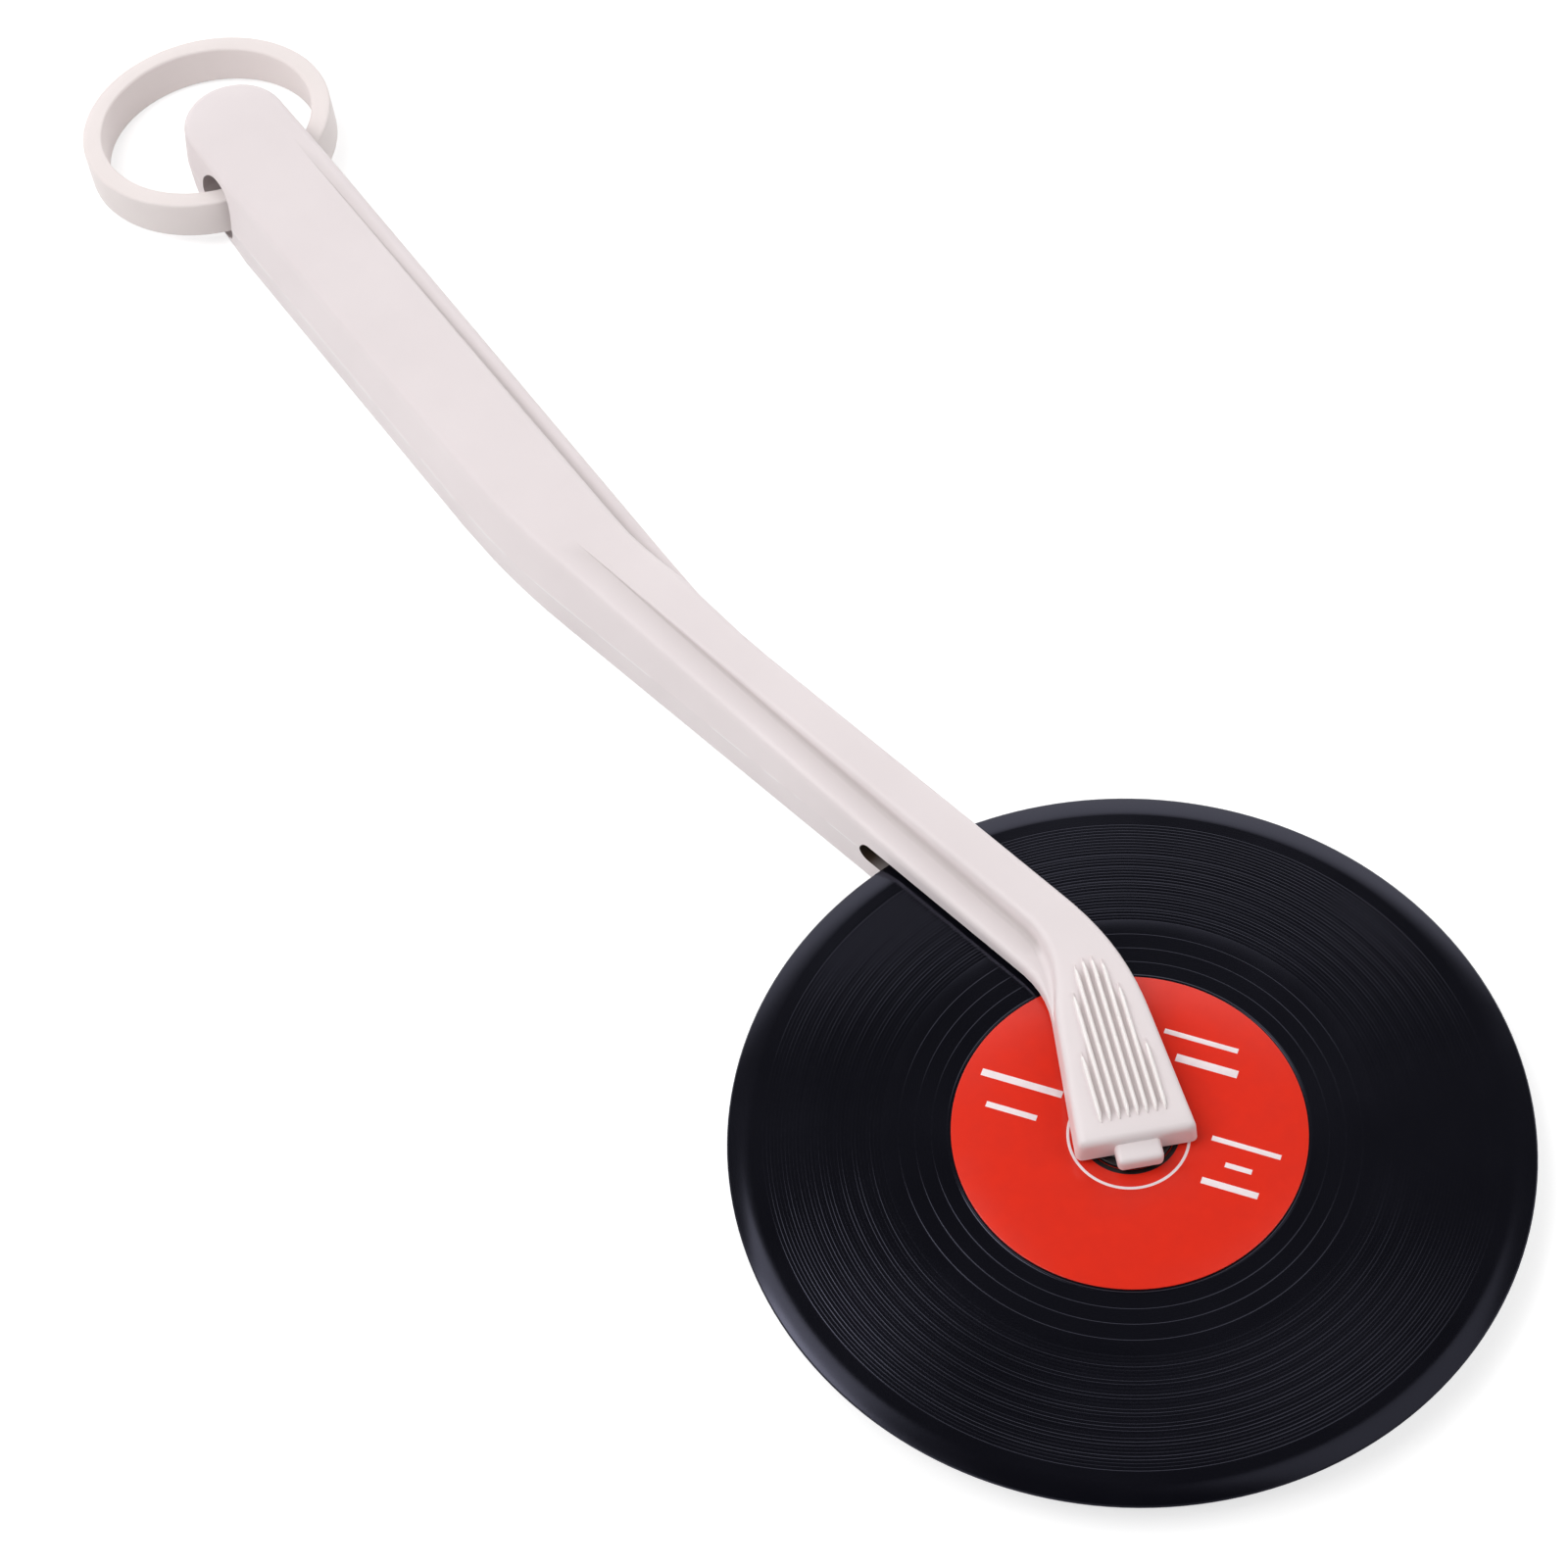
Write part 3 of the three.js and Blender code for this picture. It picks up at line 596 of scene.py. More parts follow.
def shade(piece: Piece, angle_deg: float = 40.0) -> None:
    """Shades a piece smooth across edges flatter than an angle."""
    make_active(piece)
    bpy.ops.object.shade_smooth_by_angle(angle=math.radians(angle_deg))


def dress(piece: Piece, material: Material) -> None:
    """Gives a piece one material."""
    piece.data.materials.clear()
    piece.data.materials.append(material)


def place_piece(
    piece: Piece, finish: Finish, body: Body, nodes: Sequence[str] = ()
) -> None:
    """Dresses a piece, lets it ride on a body and lets it stand for its CAD nodes.

    Args:
        piece: a finished mesh in the frame of the part.
        finish: what its surface is.
        body: the body that carries it.
        nodes: the CAD nodes that it replaces.
    """
    dress(piece, finish.build())
    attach(piece, body.value)
    if nodes:
        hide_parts(*nodes)
    LOG.info("piece %s on %s", piece.name, body.value)


def spin_profile(name: str, profile: Profile, steps: int) -> Piece:
    """Turns an outline about the Z axis.

    Args:
        name: name of the piece.
        profile: radius and height of each corner in millimetres, closed on itself or on the axis.
        steps: facets of a full turn.

    Returns:
        The turned piece.
    """
    radius, height = profile[0]
    deselect_all()
    bpy.ops.mesh.primitive_plane_add(size=MM, location=(radius * MM, 0, height * MM))
    piece = name_active(name)
    with edit_mesh(piece):
        bpy.ops.mesh.merge(type="CENTER")
        for (r0, z0), (r1, z1) in pairwise(profile):
            step = ((r1 - r0) * MM, 0, (z1 - z0) * MM)
            bpy.ops.mesh.extrude_vertices_move(TRANSFORM_OT_translate={"value": step})
        bpy.ops.mesh.select_all(action="SELECT")
        bpy.ops.mesh.spin(steps=steps, angle=math.tau, center=(0, 0, 0), axis=(0, 0, 1))
        bpy.ops.mesh.select_all(action="SELECT")
        bpy.ops.mesh.remove_doubles(threshold=TURNED_MERGE)
        bpy.ops.mesh.normals_make_consistent(inside=False)
    return piece


def rounded(profile: Profile, radius: float, steps: int = 4) -> Profile:
    """Rounds every corner of a closed outline, the first corner with the last.

    Args:
        profile: corners in millimetres, the first not repeated.
        radius: length that each rounding takes from its edges.
        steps: pieces of each rounding.

    Returns:
        The closed outline with its first point repeated.
    """
    points = [Vector(p) for p in profile]
    result = []
    for i, corner in enumerate(points):
        before, after = points[i - 1], points[(i + 1) % len(points)]
        shortest = min((before - corner).length, (after - corner).length)
        cut = min(radius, ROUND_SHARE * shortest)
        entry = corner + (before - corner).normalized() * cut
        leave = corner + (after - corner).normalized() * cut
        for step in range(steps + 1):
            t = step / steps
            point = entry * (1 - t) ** 2 + corner * 2 * t * (1 - t) + leave * t**2
            result.append((point.x, point.y))
    return [*result, result[0]]


def band(inner: float, outer: float, low: float, high: float) -> Profile:
    """Corners of a flat ring's section, as radius and height."""
    return [(inner, low), (outer, low), (outer, high), (inner, high)]


# Sub-assemblies


@dataclass
class HandleShells:
    """The two moulded shells of the tone-arm, marked at their hollow edges, where their finish
    paints shade.
    """

    nodes: tuple[str, ...] = ("upper_shell", "lower_shell")
    smooth_angle_deg: float = 36.0
    quad_angle_deg: float = 8.0
    quad_shape_deg: float = 60.0
    hollow_deg: float = 30.0
    hollows_above: float = 6.5
    lengthwise: float = 0.85
    ridges_from: float = -26.0

    def mark_hollows(self, piece: Piece) -> None:
        """Writes to each corner of the top how hollow its lengthwise edges are, for the painted
        shade.

        Args:
            piece: the shell.
        """
        mesh = piece.data
        sides: dict[tuple[int, int], list[Polygon]] = {}
        for face in mesh.polygons:
            for key in face.edge_keys:
                sides.setdefault(key, []).append(face)
        ahead, behind = [0.0] * len(mesh.vertices), [0.0] * len(mesh.vertices)
        for key, faces in sides.items():
            tail, head = sorted(key, key=lambda corner: mesh.vertices[corner].co.x)
            run = (mesh.vertices[head].co - mesh.vertices[tail].co).normalized()
            low = min(mesh.vertices[corner].co.z for corner in key)
            if len(faces) != 2 or run.x < self.lengthwise or low < self.hollows_above * MM:
                continue
            first, second = faces
            if (second.center - first.center).dot(first.normal) > 0:
                angle = math.degrees(first.normal.angle(second.normal, 0.0))
                turned = min(angle / self.hollow_deg, 1.0)
                ahead[tail] = max(ahead[tail], turned)
                behind[head] = max(behind[head], turned)
        marks = mesh.attributes.new(HOLLOW, "FLOAT", "POINT")
        for mark, corner, *hollow in zip(marks.data, mesh.vertices, ahead, behind):
            mark.value = min(hollow) if corner.co.x < self.ridges_from * MM else 0.0

    def build(self, node: str) -> Piece:
        """Copies a shell, pairs its facets and marks its hollows.

        Args:
            node: the CAD node of the shell.

        Returns:
            The finished shell.
        """
        piece = copy_mesh(f"{node}_moulding", frame["nodes"][node])
        make_active(piece)
        bpy.ops.mesh.customdata_custom_splitnormals_clear()
        with edit_mesh(piece):
            bpy.ops.mesh.remove_doubles(threshold=COPIED_MERGE)
            bpy.ops.mesh.tris_convert_to_quads(
                face_threshold=math.radians(self.quad_angle_deg),
                shape_threshold=math.radians(self.quad_shape_deg),
            )
        self.mark_hollows(piece)
        shade(piece, self.smooth_angle_deg)
        return piece

    def make(self) -> None:
        """Builds, dresses and places both shells."""
        for node in self.nodes:
            place_piece(self.build(node), SHELL_ABS, Body.HANDLE, [node])


@dataclass
class HeadshellRidges:
    """Crests of the ridges on the headshell, each a flat spindle, which their finish paints paler
    as a highlight.
    """

    row: RidgeRow = RIDGES
    half_width: float = 0.28
    height: float = 0.72
    tip: float = 1.4
    tip_shape: Shape = ((0.0, 0.0), (0.45, 0.15), (0.85, 0.6), (1.0, 1.0))
    point: float = 2.4
    point_shape: Shape = ((1.0, 1.0), (0.7, 0.4), (0.0, 0.0))
    front_z: float = 11.257
    fall_rad: float = 0.019
    steps: int = 20

    def build_one(self, pair: int) -> Piece:
        """Turns one spindle and lays it along X, with its front end at the origin.

        Args:
            pair: number of the pair, from the middle outwards.

        Returns:
            The spindle.
        """
        row, bow = self.row, self.half_width
        length = row.end - row.start - row.stagger * pair**row.stagger_power
        profile = [(r * bow, z * self.tip) for r, z in self.tip_shape]
        profile += [(r * bow, length - z * self.point) for r, z in self.point_shape]
        piece = spin_profile("ridge", profile, self.steps)
        tall = Matrix.Diagonal((1, 1, self.height / bow, 1))
        settle(piece, tall @ Matrix.Rotation(-math.pi / 2, 4, "Y"))
        return piece

    def build(self) -> Piece:
        """Copies each spindle to both sides of the middle line and joins them on the sloping top.

        Returns:
            The finished crests.
        """
        ridges = []
        for pair in range(self.row.pairs):
            first = self.build_one(pair)
            second = copy_mesh("ridge", first)
            for side, piece in ((-1, first), (1, second)):
                offset = self.row.shift + side * self.row.pitch * (pair + 0.5)
                spot = Vector((self.row.end, offset, self.front_z)) * MM
                fall = Matrix.Rotation(self.fall_rad, 4, "Y")
                settle(piece, Matrix.Translation(spot) @ fall)
                ridges.append(piece)
        make_active(*ridges)
        bpy.ops.object.join()
        piece = name_active("headshell_ridges")
        settle(piece, Matrix.Rotation(math.radians(self.row.turn_deg), 4, "Z"))
        with edit_mesh(piece):
            bpy.ops.mesh.normals_make_consistent(inside=False)
        shade(piece)
        return piece

    def make(self) -> None:
        """Builds, dresses and places the crests."""
        place_piece(self.build(), RIDGE_HIGHLIGHT_ABS, Body.HANDLE)


@dataclass
class HangRing:
    """Closed flat band that hangs through the tail of the handle."""

    radius: float = 19.2
    width: float = 3.0
    height: float = 6.2
    edge_round: float = 0.45
    past_axis: float = 3.9
    side_shift: float = -2.0
    droop_deg: float = 4.6
    steps: int = 160

    def build(self) -> Piece:
        """Turns the band and hangs it at the pivot of its joint.

        Returns:
            The finished ring.
        """
        half = self.height / 2
        corners = band(self.radius - self.width, self.radius, -half, half)
        piece = spin_profile("hang_ring_band", rounded(corners, self.edge_round), self.steps)
        pivot = next(j["pos_m"] for j in frame["joints"] if j["child"] == Body.RING.value)
        hang = Matrix.Rotation(-math.radians(self.droop_deg), 4, "Y")
        offset = Vector((self.past_axis - self.radius, self.side_shift, 0)) * MM
        settle(piece, Matrix.Translation(pivot) @ hang @ Matrix.Translation(offset))
        shade(piece)
        return piece

    def make(self) -> None:
        """Builds, dresses and places the ring."""
        place_piece(self.build(), RING_ABS, Body.RING, ["hang_ring"])


@dataclass
class RecordBlade:
    """Steel disc with the rings of a record pressed in both faces, ground to an edge.

    The grooves are a third coarser than the real ones, so that they show in the render.
    """

    radius: float = 50.0
    half_thickness: float = 0.5
    bore: float = 4.05
    bevel_width: float = 2.85
    bevel_slopes: tuple[float, float] = (0.04, 0.19)
    bevel_points: int = 7
    shoulder_land: float = 0.04
    edge_width: float = 0.16
    edge_half: float = 0.06
    bead_radius: float = 22.45
    bead_width: float = 0.3
    bead_height: float = 0.03
    bead_points: int = 6
    tracks: tuple[float, ...] = (24.55, 26.6, 28.7)
    track_width: float = 0.14
    track_depth: float = 0.012
    groove_start: float = 30.6
    groove_end: float = 45.6
    groove_pitch: float = 0.46
    groove_width: float = 0.16
    groove_depth: float = 0.0135
    groove_fade: float = 0.35
    uneven_least: float = 0.66
    uneven_turn: float = 2.399
    uneven_phase: float = 0.7
    steps: int = 180
    sharp_deg: float = 6.0

    def cut(self, radius: float, width: float, depth: float) -> Profile:
        """Section of one cut with straight flanks, as radius and height."""
        top = self.half_thickness
        return [(radius - width / 2, top), (radius, top - depth), (radius + width / 2, top)]

    def grooves(self) -> Profile:
        """Section of the fine grooves, each of its own depth and fainter inwards.

        Returns:
            Points as radius and height.
        """
        outline, reach = [], self.groove_end - self.groove_start
        for turn in range(round(reach / self.groove_pitch)):
            swing = math.sin(self.uneven_turn * turn + self.uneven_phase) ** 2
            uneven = self.uneven_least + (1 - self.uneven_least) * swing
            radius = self.groove_start + (turn + 0.5) * self.groove_pitch
            faint = 1 - self.groove_fade * (self.groove_end - radius) / reach
            outline += self.cut(radius, self.groove_width, self.groove_depth * uneven * faint)
        return outline

    def bevel(self) -> Profile:
        """Section of the ground edge, a little steeper towards its rim.

        Returns:
            Points as radius and height.
        """
        shoulder, (first, last) = self.radius - self.bevel_width, self.bevel_slopes
        outline = [(shoulder - self.shoulder_land, self.half_thickness)]
        for i in range(self.bevel_points + 1):
            run = (self.bevel_width - self.edge_width) * i / self.bevel_points
            drop = first * run + (last - first) * run**2 / (2 * self.bevel_width)
            outline.append((shoulder + run, self.half_thickness - drop))
        return [*outline, (self.radius, self.edge_half)]

    def face(self) -> Profile:
        """Outline of one face, from the bore to the edge.

        Returns:
            Points as radius and height.
        """
        outline = [(self.bore, self.half_thickness)]
        for i in range(self.bead_points + 1):
            share = i / self.bead_points
            radius = self.bead_radius + (share - 0.5) * self.bead_width
            rise = self.bead_height * math.sin(math.pi * share)
            outline.append((radius, self.half_thickness + rise))
        for track in self.tracks:
            outline += self.cut(track, self.track_width, self.track_depth)
        return [*outline, *self.grooves(), *self.bevel()]

    def build(self) -> Piece:
        """Turns both faces as one closed outline.

        Returns:
            The finished disc.
        """
        upper = self.face()
        lower = [(r, -z) for r, z in reversed(upper)]
        piece = spin_profile("record_blade", [*upper, *lower, upper[0]], self.steps)
        settle(piece, Face.TOP.place)
        shade(piece, self.sharp_deg)
        return piece

    def make(self) -> None:
        """Builds, dresses and places the disc."""
        place_piece(self.build(), BLADE_COAT, Body.WHEEL, ["blade"])


@dataclass(frozen=True)
class Rule:
    """A plain printed bar: its middle in the turned frame of the print, its length and breadth."""

    along: float
    across: float
    length: float
    breadth: float


@dataclass
class Label:
    """Printed film on one face of the disc, with a plain ring and plain bars in white ink."""

    face: Face
    inner: float = 5.7
    outer: float = 22.1
    low: float = 0.53
    high: float = 0.73
    edge_round: float = 0.1
    ink_ring: float = 7.5
    ink_ring_width: float = 0.36
    ink_shift: tuple[float, float] = (0.63, -0.57)
    hub_print: float = 6.42
    ink_height: float = 0.015
    print_turn_deg: float = 35.4
    rules: tuple[Rule, ...] = (
        Rule(-14.6, 1.95, 10.6, 1.0),
        Rule(-14.6, -2.25, 6.6, 0.8),
        Rule(4.8, 14.85, 9.6, 0.7),
        Rule(6.5, 11.6, 8.0, 1.1),
        Rule(14.45, 2.0, 8.8, 0.7),
        Rule(14.35, -1.1, 3.4, 0.7),
        Rule(14.1, -4.05, 7.2, 0.9),
    )
    round_steps: int = 3
    ink_steps: int = 2
    steps: int = 160

    def build_film(self) -> Piece:
        """Turns the film with soft cut edges.

        Returns:
            The finished film.
        """
        corners = band(self.inner, self.outer, self.low, self.high)
        profile = rounded(corners, self.edge_round, self.round_steps)
        piece = spin_profile(f"label_film_{self.face.word}", profile, self.steps)
        settle(piece, self.face.place)
        shade(piece)
        return piece

    def build_ring(
        self, name: str, inner: float, outer: float, shift: tuple[float, float] = (0.0, 0.0)
    ) -> Piece:
        """Turns a printed ring.

        Args:
            name: first words of its name.
            inner: inner radius.
            outer: outer radius.
            shift: how far the print lies off the middle.

        Returns:
            The finished ring of ink.
        """
        corners = band(inner, outer, self.high - self.ink_height, self.high + self.ink_height)
        profile = rounded(corners, self.ink_height / 2, self.ink_steps)
        piece = spin_profile(f"{name}_{self.face.word}", profile, self.steps)
        settle(piece, self.face.place @ Matrix.Translation(Vector((*shift, 0)) * MM))
        shade(piece)
        return piece

    def build_rules(self) -> Piece:
        """Prints the bars as thin plates with broken edges, joined in one piece.

        Returns:
            The finished bars of ink.
        """
        bars = []
        for rule in self.rules:
            deselect_all()
            spot = Vector((rule.along, rule.across, self.high)) * MM
            bpy.ops.mesh.primitive_cube_add(size=MM, location=spot)
            size = (rule.length, rule.breadth, 2 * self.ink_height)
            bpy.ops.transform.resize(value=size, center_override=spot)
            bars.append(name_active("bar"))
        make_active(*bars)
        bpy.ops.object.join()
        piece = name_active(f"label_bars_print_{self.face.word}")
        with edit_mesh(piece):
            bpy.ops.mesh.bevel(offset=self.ink_height / 2 * MM, segments=self.ink_steps)
        turn = Matrix.Rotation(math.radians(self.print_turn_deg), 4, "Z")
        settle(piece, self.face.place @ turn)
        shade(piece)
        return piece

    def make(self) -> None:
        """Builds, dresses and places the film and its print."""
        node = f"label_{self.face.word}"
        place_piece(self.build_film(), LABEL_FILM, Body.WHEEL, [node])
        half = self.ink_ring_width / 2
        inner, outer = self.ink_ring - half, self.ink_ring + half
        ring = self.build_ring("label_ring_print", inner, outer, self.ink_shift)
        middle = self.build_ring("label_middle_print", self.inner + self.edge_round, self.hub_print)
        prints = ((ring, LABEL_INK), (self.build_rules(), LABEL_INK), (middle, LABEL_DARK_INK))
        for printed, ink in prints:
            place_piece(printed, ink, Body.WHEEL)


@dataclass
class Hub:
    """Flanged bush, thrust washers and axle pin in the middle of the disc."""

    bore: float = 2.1
    barrel: float = 4.0
    flange: float = 5.6
    foot: float = 0.53
    top: float = 1.03
    split: float = 0.03
    washer_bore: float = 2.05
    washer_radius: float = 4.8
    washer_low: float = 1.1
    washer_high: float = 1.45
    edge_round: float = 0.12
    round_steps: int = 3
    steps: int = 96

    def turn(self, name: str, corners: Profile, face: Face) -> Piece:
        """Turns one part of the hub with broken edges.

        Args:
            name: name of the piece.
            corners: its section as radius and height above the middle of the disc.
            face: the side of the disc that it is on.

        Returns:
            The finished piece.
        """
        profile = rounded(corners, self.edge_round, self.round_steps)
        piece = spin_profile(f"{name}_{face.word}", profile, self.steps)
        settle(piece, face.place)
        shade(piece)
        return piece

    def make(self) -> None:
        """Builds, dresses and places the hub on both faces, and dresses the pin."""
        section = [
            (self.bore, self.split), (self.barrel, self.split), (self.barrel, self.foot),
            (self.flange, self.foot), (self.flange, self.top), (self.bore, self.top),
        ]
        flat = band(self.washer_bore, self.washer_radius, self.washer_low, self.washer_high)
        for face in Face:
            bush = self.turn("hub_bush_half", section, face)
            place_piece(bush, BUSH_ACETAL, Body.WHEEL, [f"hub_bush_{face.word}"])
            washer = self.turn("thrust_washer_disc", flat, face)
            node = f"thrust_washer_{face.word}"
            place_piece(washer, WASHER_ACETAL, Body.HANDLE, [node])
        dress(frame["nodes"]["axle_pin"], PIN_STEEL.build())


@dataclass
class ShellScrews:
    """Pan-head screws in the underside, each with a cross recess."""

    count: int = 4
    head_radius: float = 2.3
    head_height: float = 1.6
    crown: Shape = ((0.0, 0.0), (0.35, 0.02), (0.7, 0.12), (0.92, 0.3), (1.0, 0.55))
    shank_radius: float = 1.25
    length: float = 7.8
    point: float = 1.0
    recess_width: float = 0.55
    recess_length: float = 2.3
    recess_depth: float = 0.9
    recess_taper: float = 0.55
    upward: float = 0.5
    sharp_deg: float = 30.0
    steps: int = 48

    def cutter(self) -> Piece:
        """Makes the wedge that cuts one arm of the cross, narrower towards its end.

        Returns:
            The wedge, with its middle at the origin.
        """
        deselect_all()
        bpy.ops.mesh.primitive_cube_add(size=MM)
        size = (self.recess_length, self.recess_width, 2 * self.recess_depth)
        bpy.ops.transform.resize(value=size)
        wedge = name_active("recess_cutter")
        with edit_mesh(wedge):
            bpy.ops.mesh.select_mode(type="FACE")
            bpy.ops.mesh.select_all(action="DESELECT")
            bpy.ops.object.mode_set(mode="OBJECT")
            for face in wedge.data.polygons:
                face.select = face.normal.z > self.upward
            bpy.ops.object.mode_set(mode="EDIT")
            bpy.ops.transform.resize(value=(self.recess_taper, self.recess_taper, 1))
        return wedge

    def build(self) -> Piece:
        """Turns a screw with its head at the origin, then sinks the cross into the head.

        Returns:
            The finished screw.
        """
        profile = [(r * self.head_radius, z * self.head_height) for r, z in self.crown]
        profile += [
            (self.head_radius, self.head_height), (self.shank_radius, self.head_height),
            (self.shank_radius, self.length - self.point), (0.0, self.length),
        ]
        piece = spin_profile("shell_screw", profile, self.steps)
        wedge = self.cutter()
        for turn in (0.0, math.pi / 2):
            settle(wedge, Matrix.Rotation(turn, 4, "Z"))
            make_active(piece)
            modifier = piece.modifiers.new("Recess", "BOOLEAN")
            modifier.object, modifier.operation = wedge, "DIFFERENCE"
            bpy.ops.object.modifier_apply(modifier=modifier.name)
        bpy.data.objects.remove(wedge)
        shade(piece, self.sharp_deg)
        return piece

    def make(self) -> None:
        """Copies the screw to each hole, and dresses and places the copies."""
        master = self.build()
        for number in range(1, self.count + 1):
            node = f"shell_screw_{number}"
            low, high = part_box(node)
            piece = copy_mesh(f"{node}_pan_head", master)
            spot = ((low.x + high.x) / 2, (low.y + high.y) / 2, low.z)
            settle(piece, Matrix.Translation(spot))
            place_piece(piece, SCREW_STEEL, Body.HANDLE, [node])
        bpy.data.objects.remove(master)


# Studio


@dataclass(frozen=True)
class SoftBox:
    """A square soft box that hangs at a distance along a direction and points at its aim."""

    name: str
    direction: tuple[float, float, float]
    size: float
    power: float
    aim: tuple[float, float, float] = (-0.08, 0.0, 0.0)
    distance: float = 1.1

    def hang(self) -> None:
        """Adds the lamp to the scene."""
        aim = Vector(self.aim)
        spot = aim + self.distance * Vector(self.direction).normalized()
        data = bpy.data.lights.new(self.name, "AREA")
        data.energy = self.power
        data.shape = "SQUARE"
        data.size = self.size
        lamp = bpy.data.objects.new(self.name, data)
        lamp.location = spot
        lamp.rotation_euler = (aim - spot).to_track_quat("-Z", "Y").to_euler()
        bpy.context.scene.collection.objects.link(lamp)


@dataclass(frozen=True)
class Panel:
    """A round panel of the room: where it stands, the cosines of its soft edge, and its level."""

    direction: tuple[float, float, float]
    edge: tuple[float, float]
    level: float


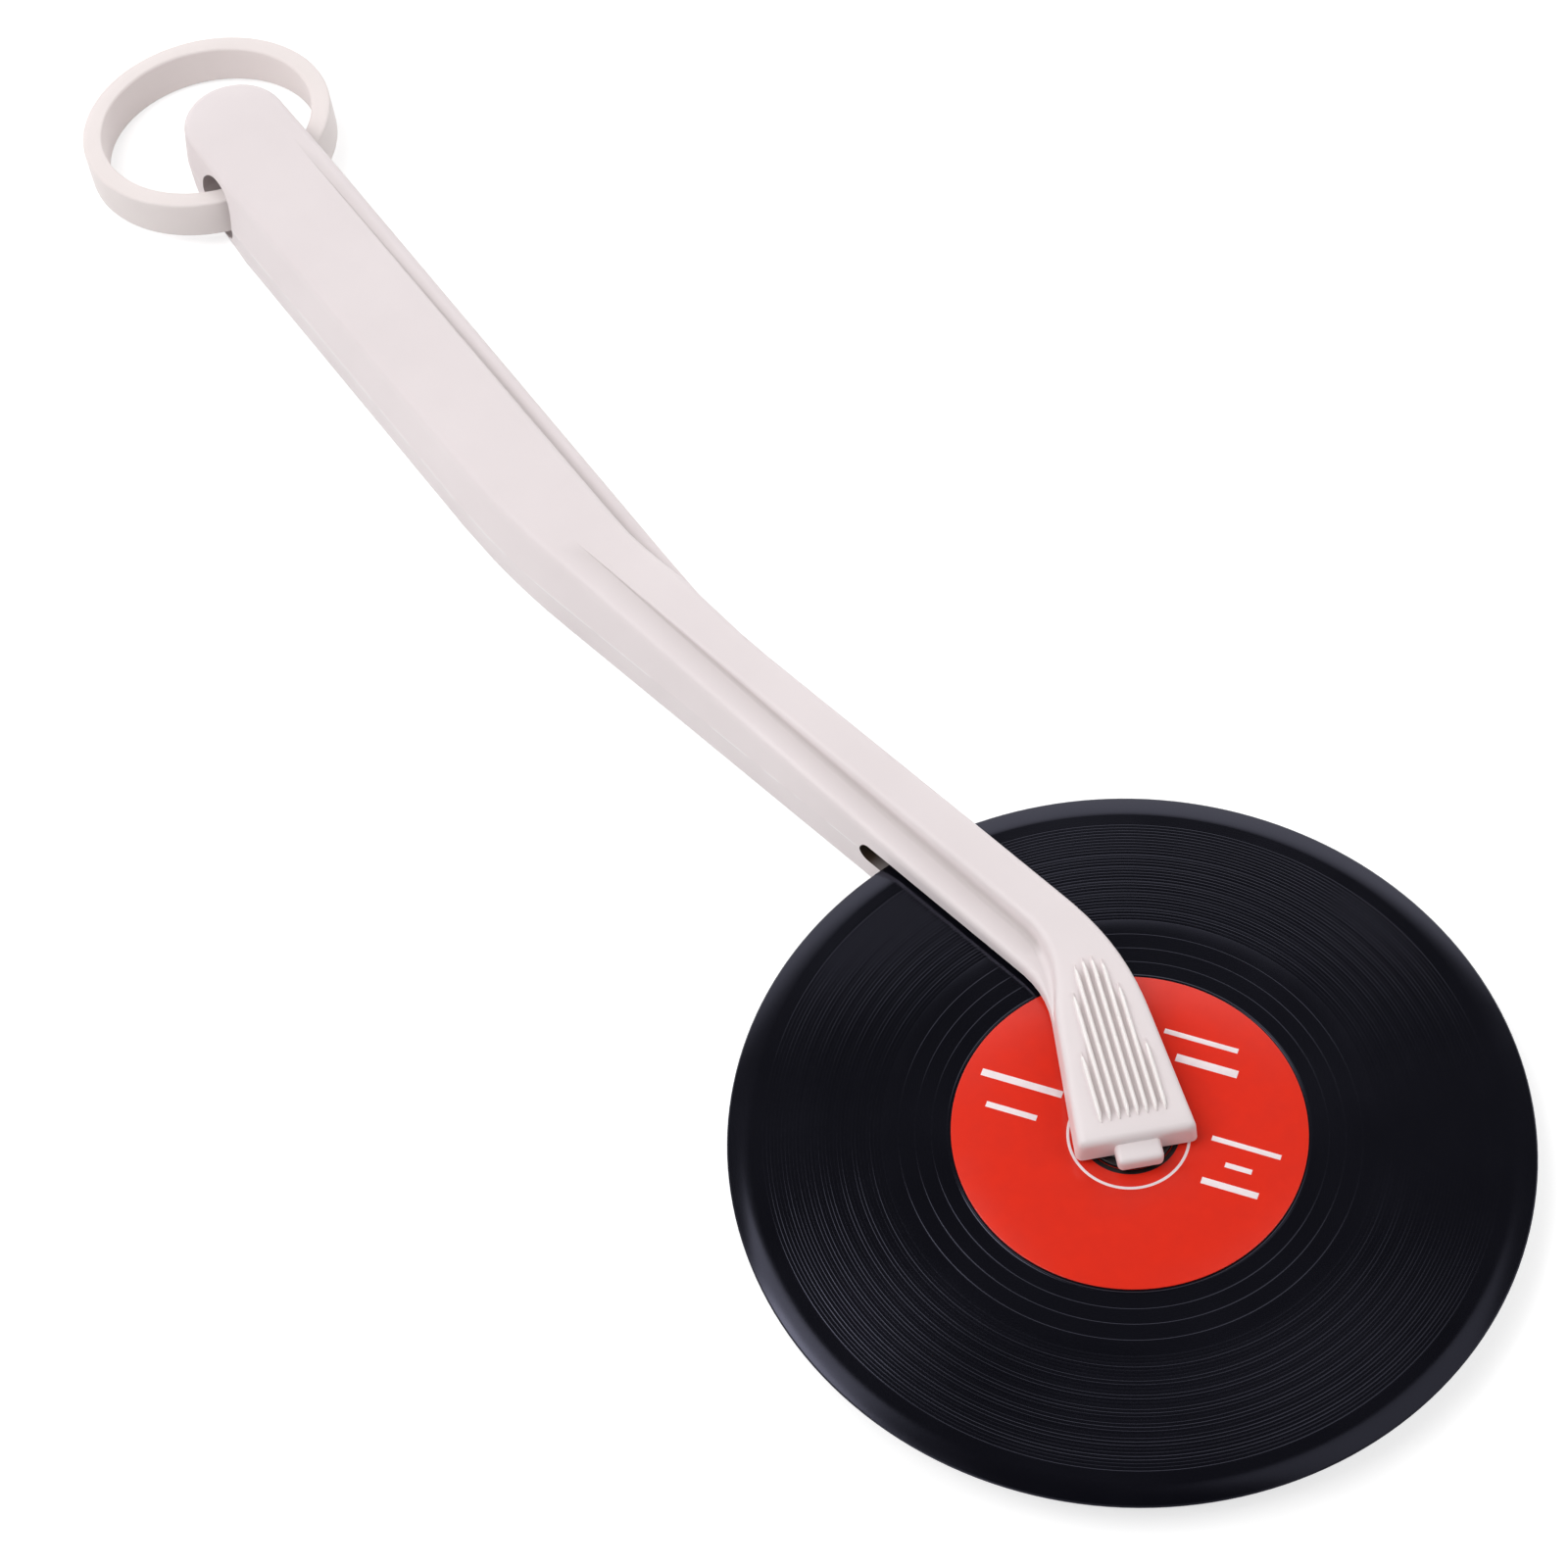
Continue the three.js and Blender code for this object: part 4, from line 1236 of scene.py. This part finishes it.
@dataclass
class Studio:
    """White floor, soft boxes, a room that is pale low down, and the camera of the photograph.

    The room and its panels are levels of light by the height, or the side, that a ray goes to.
    """

    floor_size: float = 6.0
    floor_gap_mm: float = 0.05
    floor_colour: str = "#d8d8d8"
    floor_roughness: float = 0.9
    floor_lift: float = 0.62
    floor_fade: tuple[float, float] = (0.35, 0.9)
    lens: float = 85.16
    sensor: float = 36.0
    azimuth_deg: float = 60.6
    elevation_deg: float = 55.24
    roll_deg: float = -5.85
    camera_mm: tuple[float, float, float] = (175.98, -142.99, 410.93)
    clip: tuple[float, float] = (0.01, 20.0)
    boxes: tuple[SoftBox, ...] = (
        SoftBox("left_soft_box", (-0.178, -0.505, 0.845), 0.8, 6.95),
        SoftBox("right_soft_box", (0.5, 0.5, 0.707), 0.55, 2.1),
        SoftBox("rim_soft_box", (-0.405, -0.06, 0.912), 0.21, 0.24, (0.0, 0.0, 0.0), 1.0),
        SoftBox("top_soft_box", (0.0, 0.34, 0.94), 0.3, 0.16, (0.0, 0.0, 0.0), 1.0),
    )
    room: Shape = ((0.0, 0.77), (0.52, 0.71), (0.68, 0.09), (0.88, 0.07), (0.97, 0.005))
    panels: tuple[Panel, ...] = (
        Panel((-0.839, 0.545, 0.0), (0.58, 0.66), 1.4),
        Panel((0.97, -0.243, 0.0), (0.4, 0.85), 0.3),
    )

    def add_camera(self) -> None:
        """Places the camera by its azimuth, elevation and roll."""
        a, e = math.radians(self.azimuth_deg), math.radians(self.elevation_deg)
        back = Vector((math.sin(a) * math.cos(e), -math.cos(a) * math.cos(e), math.sin(e)))
        level = Vector((math.cos(a), math.sin(a), 0))
        right = Matrix.Rotation(math.radians(self.roll_deg), 3, back) @ level
        turn = Matrix((right, back.cross(right), back)).transposed().to_4x4()
        data = bpy.data.cameras.new("photo_camera")
        data.lens = self.lens
        data.sensor_width = self.sensor
        data.clip_start, data.clip_end = self.clip
        camera = bpy.data.objects.new("photo_camera", data)
        camera.matrix_world = Matrix.Translation(Vector(self.camera_mm) * MM) @ turn
        bpy.context.scene.collection.objects.link(camera)
        bpy.context.scene.camera = camera

    def add_floor(self) -> None:
        """Lays white paper that keeps the object's shadow and fades to pure white far off."""
        deselect_all()
        spot = (0, 0, -self.floor_gap_mm * MM)
        bpy.ops.mesh.primitive_plane_add(size=self.floor_size, location=spot)
        floor = name_active("studio_floor")
        material = bpy.data.materials.new("white_studio_paper")
        material.use_nodes = True
        tree = material.node_tree
        shader = tree.nodes["Principled BSDF"]
        shader.inputs["Base Color"].default_value = linear(self.floor_colour)
        shader.inputs["Roughness"].default_value = self.floor_roughness
        shader.inputs["Specular IOR Level"].default_value = 0.0
        camera = add_node(tree, Kind.LIGHT_PATH, output="Is Camera Ray")
        direct = {0: camera, 1: camera.node.outputs["Is Glossy Ray"]}
        seen = add_node(tree, Kind.MATH, {"operation": "MAXIMUM"}, direct)
        weak = {"operation": "MULTIPLY", 1: self.floor_lift}
        lift = add_node(tree, Kind.MATH, weak, {0: seen})
        place = add_node(tree, Kind.COORDS, output="Object")
        away = add_node(tree, Kind.VECTOR, {"operation": "LENGTH"}, {0: place}, "Value")
        fade = {"From Min": self.floor_fade[0], "From Max": self.floor_fade[1]}
        far = add_node(tree, Kind.RANGE, fade, {"Value": away})
        far_seen = add_node(tree, Kind.MATH, {"operation": "MULTIPLY"}, {0: far, 1: camera})
        glow = add_node(tree, Kind.MATH, {"operation": "MAXIMUM"}, {0: lift, 1: far_seen})
        shader.inputs["Emission Color"].default_value = linear(WHITE)
        tree.links.new(glow, shader.inputs["Emission Strength"])
        dress(floor, material)

    def add_room(self) -> None:
        """Lights the scene with a room dim overhead, bright on the far side, darker in front."""
        world = bpy.data.worlds.new("studio_room")
        world.use_nodes = True
        bpy.context.scene.world = world
        tree = world.node_tree
        place = add_node(tree, Kind.COORDS, output="Generated")
        height = add_node(tree, Kind.SEPARATE, None, {0: place}, "Z")
        lit = add_node(tree, Kind.RAMP, None, {0: height})
        elements = lit.node.color_ramp.elements
        while len(elements) < len(self.room):
            elements.new(1.0)
        for element, (position, level) in zip(elements, self.room):
            element.position = position
            element.color = (level, level, level, 1)
        for panel in self.panels:
            ahead = {"operation": "DOT_PRODUCT", 1: panel.direction}
            side = add_node(tree, Kind.VECTOR, ahead, {0: place}, "Value")
            edge = {"From Min": panel.edge[0], "From Max": panel.edge[1]}
            share = add_node(tree, Kind.RANGE, edge, {"Value": side})
            level = {"data_type": "RGBA", MIX_SECOND: (*(panel.level,) * 3, 1.0)}
            lit = add_node(tree, Kind.MIX, level, {0: share, MIX_FIRST: lit}, MIX_RESULT)
        seen = add_node(tree, Kind.LIGHT_PATH, output="Is Camera Ray")
        white = {"data_type": "RGBA", MIX_SECOND: linear(WHITE)}
        backdrop = add_node(tree, Kind.MIX, white, {0: seen, MIX_FIRST: lit}, MIX_RESULT)
        tree.links.new(backdrop, tree.nodes["Background"].inputs["Color"])

    def make(self) -> None:
        """Builds the studio."""
        bpy.context.scene.view_settings.view_transform = "Standard"
        self.add_camera()
        self.add_floor()
        for box in self.boxes:
            box.hang()
        self.add_room()


def main() -> None:
    """Builds the studio and each sub-assembly in turn."""
    logging.basicConfig(level=logging.INFO, format="%(message)s")
    Studio().make()
    HandleShells().make()
    HeadshellRidges().make()
    HangRing().make()
    RecordBlade().make()
    for face in Face:
        Label(face).make()
    Hub().make()
    ShellScrews().make()


if __name__ == "__main__":
    main()
